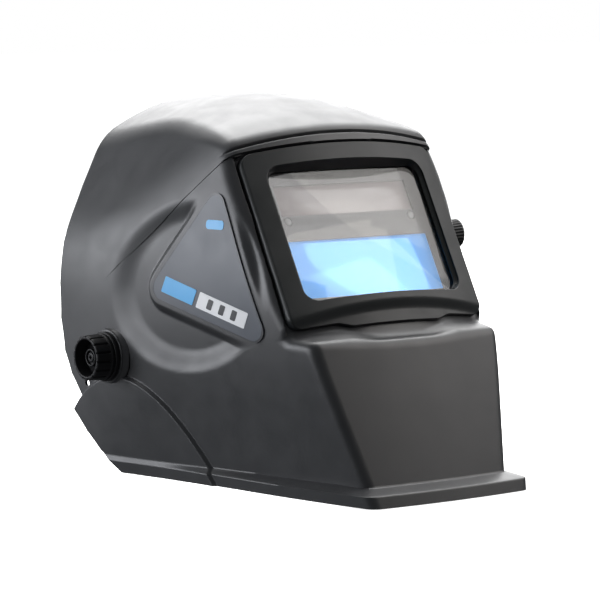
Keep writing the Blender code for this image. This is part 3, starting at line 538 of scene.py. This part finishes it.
def row_starts(levels, turns, angles):
    """Where each row of the surface leaves the rear rim: level rows, rows that turn about the rim's first corner,
    and rows in planes that fan out from the line y = FAN_Y, z = 0."""
    rim = np.array(RIM)
    rim_angle = np.degrees(np.arctan2(rim[:, 1], FAN_Y - rim[:, 0]))
    rim_reach = np.hypot(rim[:, 1], FAN_Y - rim[:, 0])
    found = [(np.interp(z, rim[:2, 1], rim[:2, 0]), z, 0.0) for z in levels]
    found += [(*RIM[1], share * rim_angle[1]) for share in turns]
    for angle in angles:
        reach, turn = np.interp(angle, rim_angle, rim_reach), math.radians(angle)
        found.append((FAN_Y - reach * math.cos(turn), reach * math.sin(turn), angle))
    return found


def surface_rows(starts, columns):
    """Rows of points from the centre line to the rear rim, closer together where the surface curves."""
    fans = np.radians(np.linspace(0, 90, 721))
    rows = []
    for y, z, angle in starts:
        dy, dz = -math.cos(math.radians(angle)), math.sin(math.radians(angle))
        low, high = np.zeros_like(fans), np.full_like(fans, 460.0)
        for _ in range(30):
            mid = (low + high) / 2
            ahead = mid * np.cos(fans)
            inside = outside(mid * np.sin(fans), y + ahead * dy, z + ahead * dz) < 0
            low, high = np.where(inside, mid, low), np.where(inside, high, mid)
        ahead = low * np.cos(fans)
        points = np.stack([low * np.sin(fans), y + ahead * dy, z + ahead * dz], 1)
        steps = np.diff(points, axis=0)
        length = np.linalg.norm(steps, axis=1)
        unit = steps / length[:, None]
        turn = np.zeros(len(points))
        turn[1:-1] = np.arccos(np.clip((unit[1:] * unit[:-1]).sum(1), -1, 1))
        turn = np.convolve(turn, np.ones(25) / 25, "same")[1:]
        weight = length / length.sum() + CORNER_SHARE * turn / turn.sum()
        travel = np.concatenate([[0], np.cumsum(weight)])
        stops = np.linspace(0, travel[-1], columns)
        rows.append(np.stack([np.interp(stops, travel, points[:, i]) for i in range(3)], 1))
    return np.array(rows)


def side_x(y, z):
    """Half-width of the plain outer surface at points of the side view."""
    y, z = np.asarray(y, float), np.asarray(z, float)
    low, high = np.full(y.shape, 40.0), np.full(y.shape, 160.0)
    for _ in range(34):
        mid = (low + high) / 2
        inside = outside(mid, y, z, detail=False) < 0
        low, high = np.where(inside, mid, low), np.where(inside, high, mid)
    return low


def snap_to_opening(shape, half_u, half_v, radius, centre_v):
    """Removes the faces over the window's opening and pulls the hole's edge onto its rounded outline."""
    def offset(co):
        p = np.array(co) * 1000 - (0, SHIFT_Y, 0)
        u, v = p[0], p[1] * TILT_SIN + p[2] * TILT_COS - centre_v
        qu, qv = abs(u) - (half_u - radius), abs(v) - (half_v - radius)
        near = np.array((max(qu, 0.0), max(qv, 0.0)))
        gap = np.linalg.norm(near) + min(max(qu, qv), 0) - radius
        way = near / np.linalg.norm(near) if np.linalg.norm(near) > 0 else np.array((qu > qv, qv >= qu), float)
        return gap, way * (math.copysign(1, u), math.copysign(1, v))

    doomed = [f for f in shape.faces
              if f.calc_center_median().y < 0 and f.calc_center_median().z > 0.09
              and offset(f.calc_center_median())[0] < 0 and f.normal.y < -0.5]
    bmesh.ops.delete(shape, geom=doomed, context="FACES")
    for vert in shape.verts:
        if vert.is_boundary and vert.co.z > 0.09 and vert.co.y < 0:
            gap, way = offset(vert.co)
            if abs(gap) < 4:
                move = window(-gap * way[0], -gap * way[1], 0)
                vert.co = Vector(np.array(vert.co) + move * 0.001)


def shell_skin():
    fine = 1
    levels = [0, 2.6, 5.2, 7.2, 7.8, 8.2, 8.8, 9.6, 10.4, 11.1, 11.7, 12.6, 14.0]
    angles = np.concatenate([
        np.linspace(5.4, 15.8, 34 // fine), np.linspace(16, 24, 60 // fine), np.linspace(24.3, 39.3, 48 // fine),
        np.linspace(39.4, 41.7, 46 // fine), np.linspace(42, 65.3, 72 // fine)])
    half = surface_rows(row_starts(levels, np.linspace(0.08, 1, 16 // fine), angles), 200 // fine)
    half[:, 0, 0] = 0
    whole = np.concatenate([half[:, :0:-1] * (-1, 1, 1), half], axis=1)
    rows, columns = whole.shape[:2]
    faces = [(r * columns + c, r * columns + c + 1, (r + 1) * columns + c + 1, (r + 1) * columns + c)
             for r in range(rows - 1) for c in range(columns - 1)]
    made = new_object("shell_skin", whole.reshape(-1, 3), faces)
    shape = bmesh.new()
    shape.from_mesh(made.data)
    bmesh.ops.recalc_face_normals(shape, faces=shape.faces)
    top = max(shape.faces, key=lambda f: f.calc_center_median().z)
    if top.normal.z < 0:
        bmesh.ops.reverse_faces(shape, faces=shape.faces)
    snap_to_opening(shape, LENS_HALF[0] + 3.3, LENS_HALF[1] + 3.3, 8.0, LENS_V)
    shape.to_mesh(made.data)
    shape.free()
    step = made.modifiers.new("wall", "SOLIDIFY")
    step.thickness = SHELL_WALL * 0.001
    step.offset = -1
    step.use_even_offset = False
    settle(made)
    for vert in made.data.vertices:
        vert.co.z = max(vert.co.z, 0.0)
    pegs = [((sign * SIDE_X, PIVOT[0] + 28, PIVOT[1] - 22), (sign, 0, 0)) for sign in (1, -1)]
    carve(made, holes("stop_holes", pegs, 2.6, 14))
    finish_piece(made, SHELL, "helmet", ["shell"], sharp=60)


def pivot_bosses():
    """The flat-faced boss under each tension knob."""
    for sign, hand in ((1, "left"), (-1, "right")):
        axis = Axes((0, *PIVOT), (sign, 0, 0), (0, 0, 1))
        corners = [(3.6, 114.5), (BOSS_R + 2.6, 114.5), (BOSS_R, BOSS_X - 1.2), (BOSS_R, BOSS_X), (3.6, BOSS_X)]
        boss = lathe("pivot_boss_" + hand, axis, corners, 0.9)
        finish_piece(boss, SHELL, "helmet")


# ---------------------------------------------------------------- front frame
def thumb_tab(u):
    return 3.5 * smooth_step((50 - np.abs(u)) / 14)


def face_height(u, v):
    """How far out the frame's front face stands: bowed, with a folded lower edge."""
    bowed = (u / FRAME_HALF_U) ** 2
    chamfer = 3.6 * smooth_step((75.5 - 6.0 * bowed - v) / 9.0)
    edge = 1.3 * smooth_step((np.abs(u) - FRAME_HALF_U + 1.8) / 1.8) ** 2
    return FRAME_FRONT - BOW * bowed - chamfer - edge


def land_height(u):
    """How far out the shell's window land stands under the frame, with the gap between them."""
    return SEAT + 0.95 - BOW * (u / FRAME_HALF_U) ** 2


def outline(half_u, half_v, radius, centre_v, tab, arch):
    flat = rounded(half_u, half_v, radius, 10, 64, 40)
    u, v = flat[:, 0], flat[:, 1] + centre_v
    low, high = flat[:, 1] < -half_v * 0.8, flat[:, 1] > half_v * 0.8
    v = v - np.where(low, thumb_tab(u) * tab, 0) + np.where(high, arch * (1 - (u / FRAME_HALF_U) ** 2), 0)
    return u, v


def frame_skin():
    outer = outline(FRAME_HALF_U, FRAME_HALF_V, 9, FRAME_V, 1, FRAME_ARCH)
    opening = outline(*FACE_OPENING, 11, OPENING_V, 0, 1.2)
    throat = outline(*CLEAR_VIEW, 9, OPENING_V, 0, 0)
    seat = outline(71.5, 58.5, 7, LENS_V, 0, 0)
    steps = [(0.0, 2.6), (0.0, 1.4), (0.003, 0.7), (0.008, 0.2)]
    steps += [(share, 0.0) for share in np.linspace(0.02, 0.975, 70)] + [(0.99, 0.15), (1.0, 0.7), (1.0, 1.6)]
    loops = [window(*outer, land_height(outer[0]))]
    for share, drop in steps:
        u, v = (o + (i - o) * share for o, i in zip(outer, opening))
        loops.append(window(u, v, face_height(u, v) - drop))
    loops += [window(*throat, 127.0), window(*throat, LENS_W + 1.85), window(*seat, LENS_W + 1.85),
              window(*seat, land_height(seat[0]))]
    made = new_object("front_frame_skin", *loft(loops, capped=False))
    finish_piece(made, BLACK, "front_frame", ["front_frame"], sharp=50)


def cover_lens_skin():
    flat = rounded(*LENS_HALF, 5, 6, 12, 10) + (0, LENS_V)
    made = prism("cover_lens_skin", WIN, flat, LENS_W, LENS_W + 1.5)
    soften(made, 0.25)
    finish_piece(made, LENS, "front_frame", ["cover_lens"])


# ---------------------------------------------------------------- filter cartridge
def cartridge_pieces():
    for node, mat, width, slot in (
        ("cartridge_holder", HOLDER, 0.5, "cartridge_abs"), ("filter_case_front", CASE, 0.35, "cartridge_abs"),
        ("filter_case_back", CASE, 0.35, "cartridge_abs"), ("solar_cell", SOLAR, 0.15, "solar_glass"),
        ("uv_ir_filter", BLUE, 0.15, "filter_glass"), ("lcd_panel", LCD, 0.2, "lcd_glass"),
        ("circuit_board", BOARD, 0.1, "circuit_board"),
        ("inner_cover_lens", INNER_LENS, 0.2, "clear_polycarbonate"),
        ("arc_sensor_left", SENSOR, 0.3, "sensor_lens"), ("arc_sensor_right", SENSOR, 0.3, "sensor_lens"),
        ("battery_cell_left", STEEL, 0.4, "steel"), ("battery_cell_right", STEEL, 0.4, "steel"),
    ):
        refined_piece(node, mat, width)
    for hand in ("left", "right"):
        refined_piece("battery_cap_" + hand, CASE, 0.3, 3)

    def ribs(turn, r, h):
        return np.where((r > 5.8) & (h > 0.6), 0.35 * (0.5 - 0.5 * np.cos(24 * turn)) ** 0.5, 0)

    for name, across in (("sensitivity_dial", DIAL_U), ("delay_dial", -DIAL_U)):
        axes = Axes(window(across, DIAL_V, CARTRIDGE_W - 10), -WIN.c, (1, 0, 0))
        corners = [(0.6, 0.35), (5.9, 0.35), (6.5, 1.0), (6.5, 3.4), (5.7, 4.2), (1.6, 4.2), (1.6, 3.0), (0.6, 3.0)]
        made = lathe(name + "_skin", axes, corners, 0.25, 192, ribs)
        finish_piece(made, KNOB, name, [name])
        mark = prism(name + "_mark", axes, rounded(2.0, 0.28, 0.25, 3, 1, 1) + (3.6, 0), 4.1, 4.35)
        finish_piece(mark, LABEL_WHITE, name)


def wire_piece(node, path, radius, mat):
    name = node + "_skin"
    curve = bpy.data.curves.new(name, "CURVE")
    curve.dimensions = "3D"
    curve.bevel_depth = radius * 0.001
    curve.bevel_resolution = 4
    curve.use_fill_caps = True
    line = curve.splines.new("POLY")
    line.points.add(len(path) - 1)
    for point, co in zip(line.points, place(path)):
        point.co = (*co, 1)
    tube = linked(name, curve)
    mesh = evaluated_mesh(tube)
    bpy.data.objects.remove(tube)
    finish_piece(linked(name, mesh), mat, "helmet", [node])


SHADE = Axes((float(side_x(*SHADE_AT)), *SHADE_AT), (1, -0.2, 0.085), (0, 0, 1))


def wires():
    half = ((60.0, 136.0), (66.0, 140.0), (74.0, 150.0), (74.0, 186.0))
    bends = [(-u, v) for u, v in half[::-1]] + [(0.0, 134.0), *half]
    spring = [window(u, v, 104.9) for u, v in bends]
    wire_piece("spring_clip", smooth_path(spring, 8), 0.9, STEEL)
    start = SHADE((0, 6.0, -15.4))
    route = smooth_path([start, start + (-6, 6, 0), window(78.0, 160.0, 95.0), window(72.0, 152.0, 102.0),
                         window(66.0, 150.0, CARTRIDGE_W - 11.6)], 12)
    wire_piece("shade_cable", route, 1.6, CABLE)


def shade_control():
    def knurl(turn, r, h):
        return np.where((r > SHADE_KNOB_R - 1.3) & (h > 1.6), 0.55 * (0.5 - 0.5 * np.cos(28 * turn)) ** 0.6, 0)

    top = 1.4 + SHADE_KNOB_LONG
    corners = [(8.2, 1.3), (SHADE_KNOB_R, 1.3), (SHADE_KNOB_R, top - 1.2), (SHADE_KNOB_R - 1.2, top), (3.0, top),
               (3.0, 5.2), (8.2, 5.2)]
    made = lathe("shade_knob_skin", SHADE, corners, 0.5, 224, knurl)
    finish_piece(made, KNOB, "shade_knob", ["shade_knob"])
    corners = [(0.4, top - 1.0), (3.4, top - 1.0), (3.4, top + 0.3), (0.4, top + 0.3)]
    cap = lathe("shade_knob_cap", SHADE, corners, 0.3)
    finish_piece(cap, KNOB, "shade_knob")
    line = prism("shade_knob_mark", SHADE, rounded(2.2, 0.4, 0.35, 3, 1, 1) + (6.4, 0), top - 0.3, top + 0.15)
    finish_piece(line, LABEL_WHITE, "shade_knob")
    boss = lathe("shade_boss", SHADE, [(4.4, -1.6), (11.6, -1.6), (10.5, 0.9), (4.4, 0.9)], 0.6)
    finish_piece(boss, SHELL, "helmet")
    for node in ("shade_potentiometer", "shade_nut"):
        refined_piece(node, BRASS, 0.3)


# ---------------------------------------------------------------- side label
def conform(flat, lift):
    """Points of the side view laid over the wearer's right side of the shell."""
    step = 0.4
    wide = side_x(flat[:, 0], flat[:, 1])
    gy = (side_x(flat[:, 0] + step, flat[:, 1]) - side_x(flat[:, 0] - step, flat[:, 1])) / (2 * step)
    gz = (side_x(flat[:, 0], flat[:, 1] + step) - side_x(flat[:, 0], flat[:, 1] - step)) / (2 * step)
    normal = np.stack([np.ones_like(gy), -gy, -gz], 1)
    normal /= np.linalg.norm(normal, axis=1)[:, None]
    return (np.column_stack([wide, flat]) + normal * lift) * (-1, 1, 1)


def decal(name, loop, low, high, mat, rings, inner=0.0, stands_for=()):
    """A thin printed patch from an outline in the side view; inner leaves a frame of that share open."""
    centre = loop.mean(0)
    flats = [centre + (loop - centre) * share for share in np.linspace(1, inner, rings + 1) if share > 0]
    top, bottom = [conform(f, high) for f in flats], [conform(f, low) for f in flats[::-1]]
    made = new_object(name, *loft(top + bottom if inner else bottom + top, capped=not inner))
    finish_piece(made, mat, "helmet", stands_for)


def rounded_outline(corners, radius, arc=10, along=16):
    """A closed outline round the corners, grown outwards by the radius."""
    loop = []
    count = len(corners)
    for i in range(count):
        (ay, az), (by, bz), (cy, cz) = corners[i - 1], corners[i], corners[(i + 1) % count]
        start, end = math.atan2(-(by - ay), bz - az), math.atan2(-(cy - by), cz - bz)
        turn = (end - start) % (2 * math.pi)
        for share in np.linspace(0, 1, arc):
            angle = start + turn * share
            loop.append((by + radius * math.cos(angle), bz + radius * math.sin(angle)))
        for share in np.arange(1, along) / along:
            loop.append((by + (cy - by) * share + radius * math.cos(end),
                         bz + (cz - bz) * share + radius * math.sin(end)))
    return np.array(loop)


def label_pieces():
    panel = rounded_outline(LABEL_CORNERS, LABEL_ROUND - 1.5)
    decal("side_label_skin", panel, 0.3, 1.0, LABEL, 14, stands_for=["side_label"])
    # A dark ring round the panel: painted shade along the label's raised edge.
    decal("side_label_painted_edge_shade", panel, 0.6, 1.12, LABEL_PRINT_AND_EDGE_SHADE, 2, inner=0.972)
    apex, front, rear = (np.array(p) for p in LABEL_CORNERS)
    along = (front - rear) / np.linalg.norm(front - rear)
    up = np.array((along[1], -along[0]))

    def bar(name, start, end, low, high, mat, lift):
        corners = [rear + along * (s + 0.12 * h) + up * h for s, h in
                   ((start, low), (end, low), (end, high), (start, high))]
        turned = sum(a[0] * b[1] - b[0] * a[1] for a, b in zip(corners, corners[1:] + corners[:1]))
        corners = corners if turned > 0 else corners[::-1]
        decal(name, rounded_outline([tuple(c) for c in corners], 0.8, 5, 10), 0.9, lift, mat, 4)

    bar("label_mark_blue", 2, 30, -1, 9, LABEL_BLUE, 1.25)
    bar("label_mark_white", 35, 78, -1, 9, LABEL_WHITE, 1.25)
    for i in range(3):
        bar(f"label_mark_slash_{i + 1}", 44 + 11 * i, 47 + 11 * i, 1.2, 6.8, LABEL_PRINT_AND_EDGE_SHADE, 1.4)
    pill = rounded_outline([(-17.0, 180.6), (-6.0, 180.6), (-6.0, 182.2), (-17.0, 182.2)], 2.4, 8, 6)
    decal("label_mark_pill", pill, 0.9, 1.25, LABEL_BLUE, 4)


# ---------------------------------------------------------------- headgear
TILT = math.radians(BAND_TILT)
BAND = Axes(BAND_AT, (0, math.sin(TILT), math.cos(TILT)), (1, 0, 0))  # a across, b to the rear, c up


def oval(half_u, half_s, from_deg, to_deg, count):
    angles = np.radians(np.linspace(from_deg, to_deg, count))
    return np.stack([half_u * np.sin(angles), -half_s * np.cos(angles), 0 * angles], 1)


def out_of(path):
    ahead = np.gradient(path, axis=0)
    return np.stack([ahead[:, 1], -ahead[:, 0], 0 * ahead[:, 0]], 1)


def band_section(thick, high):
    """Strap section with rolled edges: thicker beads along the top and bottom."""
    half_t, half_h = thick / 2, high / 2
    bead = 0.35
    return np.array([(-half_t - bead, -half_h), (half_t + bead, -half_h), (half_t + bead, -half_h + 2.2),
                     (half_t, -half_h + 3.0), (half_t, half_h - 3.0), (half_t + bead, half_h - 2.2),
                     (half_t + bead, half_h), (-half_t - bead, half_h), (-half_t - bead, half_h - 2.2),
                     (-half_t, half_h - 3.0), (-half_t, -half_h + 3.0), (-half_t - bead, -half_h + 2.2)])


def holes(name, centres, radius, reach):
    """One mesh of many round punches; each centre is (point, direction)."""
    points, faces, base = [], [], 0
    for where, way in centres:
        first = (0, 0, 1) if abs(way[2]) < 0.9 else (1, 0, 0)
        found, walls = loft([at(circle(radius, 14), -reach), at(circle(radius, 14), reach)])
        points.append(Axes(where, way, first)(found))
        faces += [tuple(i + base for i in f) for f in walls]
        base += len(found)
    return new_object(name, np.concatenate(points), faces)


REAR_U = BAND_HALF[0] - BAND_THICK - 0.5
BEHIND = Axes(BAND((0, BAND_HALF[1] + 2, 0)), BAND.b, (1, 0, 0))


def head_band(node, path, high, body, punches, radius, reach):
    """A band swept along its path, with round holes punched through it."""
    points, faces = strap(path, out_of(path), band_section(BAND_THICK - 0.6, high))
    made = new_object(node + "_skin", BAND(points), faces)
    centres = [(BAND((u, s, c)), (math.copysign(1, u), 0, 0)) for u, s, c in punches]
    carve(made, holes("punch", centres, radius, reach))
    soften(made, 0.25)
    finish_piece(made, STRAP, body, [node], sharp=35)


def head_bands():
    half = BAND_HALF[0]
    path = np.concatenate([[(-half, s, 0) for s in np.linspace(46, 6, 10)], oval(*BAND_HALF, -90, 90, 81),
                           [(half, s, 0) for s in np.linspace(6, 46, 10)]])
    punches = [(sign * half, s, c) for sign in (1, -1) for s in np.arange(12, 44, 6.0) for c in (-5.5, 5.5)]
    head_band("headband", path, BAND_HIGH, "headgear", punches, 1.7, 6)

    path = np.concatenate([[(REAR_U, s, 0) for s in np.linspace(8, 38, 8)],
                           oval(REAR_U, 53, 90, 270, 61) + (0, 45, 0),
                           [(-REAR_U, s, 0) for s in np.linspace(38, 8, 8)]])
    punches = [(sign * REAR_U, s, 0) for sign in (1, -1) for s in np.arange(14, 40, 4.0)]
    head_band("rear_band", path, REAR_HIGH, "rear_band", punches, 1.1, 5)


def ratchet():
    housing = prism("ratchet_housing_skin", BEHIND, rounded(30, 15, 9, 8, 4, 4), 1.4, 9.6)
    soften(housing, 1.6, 4)
    finish_piece(housing, STRAP, "rear_band", ["ratchet_housing"], sharp=35)
    ring = lathe("ratchet_housing_collar", BEHIND, [(12, 9.0), (21.0, 9.0), (20.4, 10.0), (12, 10.0)], 0.4)
    finish_piece(ring, STRAP, "rear_band")
    base = 9.8

    def lobes(turn, r, h):
        return np.where((r > RATCHET_R - 2.6) & (h > base + 1.2), 1.3 * np.clip(np.cos(18 * turn), 0, 1) ** 0.7, 0)

    corners = [(1.2, base + 0.4), (RATCHET_R - 1, base + 0.4), (RATCHET_R, base + 1.4),
               (RATCHET_R - 0.8, base + 12.6), (RATCHET_R - 2.4, base + 14.0), (8.5, base + 14.0),
               (7.5, base + 11.6), (1.2, base + 11.6)]
    knob = lathe("ratchet_knob_skin", BEHIND, corners, 0.7, 216, lobes)
    finish_piece(knob, KNOB, "ratchet_knob", ["ratchet_knob"])
    corners = [(0.4, base + 11.0), (6.6, base + 11.0), (6.2, base + 13.2), (0.4, base + 13.4)]
    cap = lathe("ratchet_knob_cap", BEHIND, corners, 0.6)
    finish_piece(cap, KNOB, "ratchet_knob")


CROWN_S, CROWN_LEAN, CROWN_HIGH = 22.0, 0.35, 96.0


def crown():
    for sign, hand in ((1, "left"), (-1, "right")):
        over = 0.0 if sign > 0 else 2.2
        side_in = BAND_HALF[0] + BAND_THICK / 2 + 1.1
        knots = [(side_in, -10), (side_in, 14), (side_in - 6, 50 + over / 3), (side_in - 34, 84 + over),
                 (24, CROWN_HIGH - 2.2 + over), (0, CROWN_HIGH + over), (-16, CROWN_HIGH - 1 + over)]
        curve = smooth_path([(sign * u, CROWN_S - CROWN_LEAN * max(c, 0), c) for u, c in knots], 10)
        ahead = np.gradient(curve, axis=0)
        side = np.stack([ahead[:, 2], 0 * ahead[:, 0], -ahead[:, 0]], 1)
        section = np.array([(-0.75, -8.5), (0.75, -8.5), (0.75, 8.5), (-0.75, 8.5)])
        points, faces = strap(curve, side, section)
        made = new_object("crown_strap_" + hand + "_skin", BAND(points), faces)
        length = np.concatenate([[0], np.cumsum(np.linalg.norm(np.diff(curve, axis=0), axis=1))])
        punches = []
        for stop in np.arange(length[-1] - 62, length[-1] - 4, 8.0):
            where = np.array([np.interp(stop, length, curve[:, i]) for i in range(3)])
            way = np.array([np.interp(stop, length, side[:, i]) for i in range(3)])
            if abs(where[0]) > 7:
                punches.append((BAND(where), way[0] * BAND.a + way[2] * BAND.c))
        carve(made, holes("punch", punches, 2.4, 4))
        soften(made, 0.3)
        finish_piece(made, STRAP, "headgear", ["crown_strap_" + hand], sharp=35)
    where = BAND((0, CROWN_S - CROWN_LEAN * CROWN_HIGH, CROWN_HIGH + 2.2))
    pin = lathe("crown_pin_skin", Axes(where, BAND.c, (1, 0, 0)),
                [(0.3, 3.3), (5.0, 3.3), (5.0, 4.7), (3.6, 5.6), (0.3, 5.8)], 0.5, 48)
    finish_piece(pin, STRAP, "headgear", ["crown_pin"])


def simulate_pad(made, pressure, cap, voxel):
    """Swells a pad's cover with Cloth, keeping each point within cap of where it started, in millimetres."""
    remesh = made.modifiers.new("voxels", "REMESH")
    remesh.mode = "VOXEL"
    remesh.voxel_size = voxel * 0.001
    settle(made)
    start = np.array([v.co for v in made.data.vertices])
    cloth = made.modifiers.new("cover", "CLOTH")
    cloth.settings.use_pressure = True
    cloth.settings.uniform_pressure_force = pressure
    cloth.settings.effector_weights.gravity = 0
    cloth.settings.tension_stiffness = 8
    cloth.settings.compression_stiffness = 8
    scene = bpy.context.scene
    for number in range(1, 17):
        scene.frame_set(number)
    settle(made)
    scene.frame_set(1)
    after = np.array([v.co for v in made.data.vertices])
    move = after - start
    far = np.linalg.norm(move, axis=1)[:, None]
    move *= np.minimum(1, cap * 0.001 / np.maximum(far, 1e-9))
    made.data.vertices.foreach_set("co", (start + move).astype(np.float32).ravel())
    made.data.update()


def pad(name, path, thick, high, node, body, seams):
    """A foam pad in a knitted cover, with a stitched channel along each edge and across at each seam."""
    section = rounded(thick / 2 - 0.9, high / 2 - 1.2, thick / 2 - 1.3, 5, 2, 10)
    points, faces = strap(path, out_of(path), section)
    made = new_object(name, BAND(points), faces)
    simulate_pad(made, 3.0, 1.4, 1.7)
    local = np.array([v.co for v in made.data.vertices]) * 1000 - (0, SHIFT_Y, 0) - BAND.origin
    across, back, up = local @ BAND.a, local @ BAND.b, local @ BAND.c
    angle = np.degrees(np.arctan2(across, -back))
    groove = np.zeros(len(across))
    for stop in seams:
        groove += np.exp(-((angle - stop) * np.radians(1) * 85 / 1.3) ** 2)
    for level in (-high / 2 + 4.5, high / 2 - 4.5):
        groove += np.exp(-((up - level) / 1.1) ** 2)
    shape = bmesh.new()
    shape.from_mesh(made.data)
    bmesh.ops.recalc_face_normals(shape, faces=shape.faces)
    shape.verts.ensure_lookup_table()
    for vert, deep in zip(shape.verts, groove):
        vert.co -= vert.normal * 0.0011 * min(deep, 1.0)
    shape.to_mesh(made.data)
    shape.free()
    step = made.modifiers.new("smooth", "SUBSURF")
    step.levels = step.render_levels = 1
    finish_piece(made, FOAM, body, [node], sharp=180)


def pads():
    sweat = oval(BAND_HALF[0] - 5.6, BAND_HALF[1] - 5.6, -52, 52, 61)
    pad("sweatband_skin", sweat, 8.0, 36.0, "sweatband", "headgear", (-36, -18, 0, 18, 36))
    nape = oval(REAR_U - 7, 46, 138, 222, 41) + (0, 45, 0)
    pad("nape_pad_skin", nape, 9.0, 30.0, "nape_pad", "rear_band", ())


def side_hardware():
    for sign, hand in ((1, "left"), (-1, "right")):
        axis = Axes((0, *PIVOT), (sign, 0, 0), (0, 0, 1))
        knots = [(82.7, 122), (82.9, 114), (92, 104), (ARM_X - 3, 98), (ARM_X, 90), (ARM_X, 66)]
        curve = smooth_path([(sign * x, PIVOT[0] - 1, z) for x, z in knots], 8)
        ahead = np.gradient(curve, axis=0)
        side = np.stack([-ahead[:, 2], 0 * ahead[:, 0], ahead[:, 0]], 1) * sign
        section = np.array([(-1.2, -12), (1.2, -12), (1.2, 12), (-1.2, 12)])
        points, faces = strap(curve, side, section)
        arm = new_object("side_arm_" + hand + "_skin", points, faces)
        carve(arm, holes("punch", [((sign * ARM_X, *PIVOT), (sign, 0, 0))], 3.5, 8))
        soften(arm, 0.6, 3)
        finish_piece(arm, STRAP, "headgear", ["side_arm_" + hand], sharp=35)
        corners = [(3.5, ARM_X + 1.8), (12, ARM_X + 1.8), (12, ARM_X + 3.8), (3.5, ARM_X + 3.8)]
        plate = lathe("stop_plate_" + hand + "_skin", axis, corners, 0.4)
        finish_piece(plate, BLACK, "headgear", ["stop_plate_" + hand])
        refined_piece("pivot_bolt_" + hand, STEEL, 0.5, 3)
        base = BOSS_X + 0.4
        corners = [(3.5, base), (WASHER_R, base), (WASHER_R, base + WASHER_THICK), (3.5, base + WASHER_THICK)]
        washer = lathe("knob_washer_" + hand + "_skin", axis, corners, 0.7)
        finish_piece(washer, KNOB, "helmet", ["knob_washer_" + hand])
        tension_knob(hand, axis, base + WASHER_THICK + 0.4)


def tension_knob(hand, axis, base):
    """Lobed knob with a deep front recess and a ringed hub."""
    end = base + KNOB_LONG

    def grooves(turn, r, h):
        cut = np.clip(np.cos(15 * turn) * 3.2 - 2.2, 0, 1)
        return np.where((r > KNOB_R - 2.4) & (h > base + 2.6), 1.15 * cut, 0)

    corners = [(3.4, base), (KNOB_R + 0.3, base), (KNOB_R + 0.3, base + 1.9), (KNOB_R - 0.3, base + 2.5),
               (KNOB_R - 0.6, end - 0.8), (KNOB_R - 1.3, end), (KNOB_R - 3.2, end), (KNOB_R - 3.8, base + 4.0),
               (6.4, base + 3.6), (6.2, end - 4.0), (4.9, end - 4.0), (4.9, end - 6.0), (3.4, end - 6.0)]
    made = lathe("tension_knob_" + hand + "_skin", axis, corners, 0.45, 240, grooves)
    finish_piece(made, KNOB, "tension_knob_" + hand, ["tension_knob_" + hand])
    corners = [(1.3, base + 8.4), (3.6, base + 8.4), (3.6, base + 9.4), (2.6, base + 9.8), (1.3, base + 9.8)]
    hub = lathe("tension_knob_" + hand + "_hub", axis, corners, 0.25, 64)
    finish_piece(hub, KNOB, "tension_knob_" + hand)


# ---------------------------------------------------------------- studio
def area(name, where, target, size, power, colour=(1, 1, 1), shape="RECTANGLE"):
    light = bpy.data.lights.new(name, "AREA")
    light.shape = shape
    light.size, light.size_y = size
    light.energy = power
    light.color = colour
    made = linked(name, light)
    made.location = where
    made.rotation_euler = (Vector(target) - Vector(where)).to_track_quat("-Z", "Y").to_euler()


def studio():
    mesh = bpy.data.meshes.new("floor")
    mesh.from_pydata([(-9, -9, -0.0004), (9, -9, -0.0004), (9, 9, -0.0004), (-9, 9, -0.0004)], [], [(0, 1, 2, 3)])
    floor = linked("floor", mesh)
    made, tree, shader = nodes_of("floor_acrylic")
    pale = ramp(tree, noise(tree, 1.5, 2.0), (0.9, 0.905, 0.91), (0.93, 0.932, 0.935))
    fill(tree, shader, {"Base Color": pale, "Roughness": 0.25, "Specular IOR Level": 0.35,
                        "Emission Color": (1, 1, 1, 1), "Emission Strength": 0.75})
    mesh.materials.append(made)
    floor.visible_diffuse = floor.visible_glossy = False

    world = bpy.data.worlds.new("studio")
    world.use_nodes = True
    bpy.context.scene.world = world
    tree = world.node_tree
    shown = tree.nodes["Background"]
    fill(tree, shown, {"Color": (1, 1, 1, 1), "Strength": 1.0})
    lit = add(tree, "Background", {"Color": (0.93, 0.96, 1, 1), "Strength": 0.16})
    seen = add(tree, "LightPath", {}, "Is Camera Ray")
    mix = add(tree, "MixShader", {"Fac": seen, 1: lit, 2: shown.outputs[0]})
    fill(tree, tree.nodes["World Output"], {"Surface": mix})

    middle = (0.0, 0.0, 0.14)
    sky = bpy.data.lights.new("sky", "SUN")
    sky.energy = 1.5
    sky.angle = math.radians(70)
    linked("sky", sky).rotation_euler = (math.radians(-30), math.radians(10), 0)
    area("overhead", (0.5, 0.5, 1.5), middle, (1.6, 1.2), 36)
    area("back_top", (1.15, 1.35, 0.75), middle, (1.8, 1.5), 30)
    area("left_side", (-1.75, 1.0, 0.42), middle, (2.2, 0.8), 39, (0.93, 0.95, 1.0))
    area("lens_glow", (1.02, -0.60, 0.98), (0.0, -0.085, 0.19), (1.25, 1.25), 11, (1.0, 0.97, 0.96), "DISK")
    area("front", (1.3, -1.5, 1.25), middle, (0.9, 0.9), 5, (1.0, 0.93, 0.86))

    scene = bpy.context.scene
    scene.view_settings.view_transform = "Standard"
    lens = bpy.data.cameras.new("camera")
    lens.sensor_width = 36
    lens.lens = 192
    lens.clip_start, lens.clip_end = 0.05, 50
    camera = linked("camera", lens)
    target = Vector((-0.0109, 0.0074 + SHIFT_Y * 0.001, 0.1228))
    back = Vector((-0.6054, -0.789, 0.1045)).normalized()
    camera.location = target + back * 2.2535
    camera.rotation_euler = (-back).to_track_quat("-Z", "Y").to_euler()
    scene.camera = camera


shell_skin()
pivot_bosses()
frame_skin()
cover_lens_skin()
cartridge_pieces()
wires()
shade_control()
label_pieces()
head_bands()
ratchet()
crown()
pads()
side_hardware()
studio()
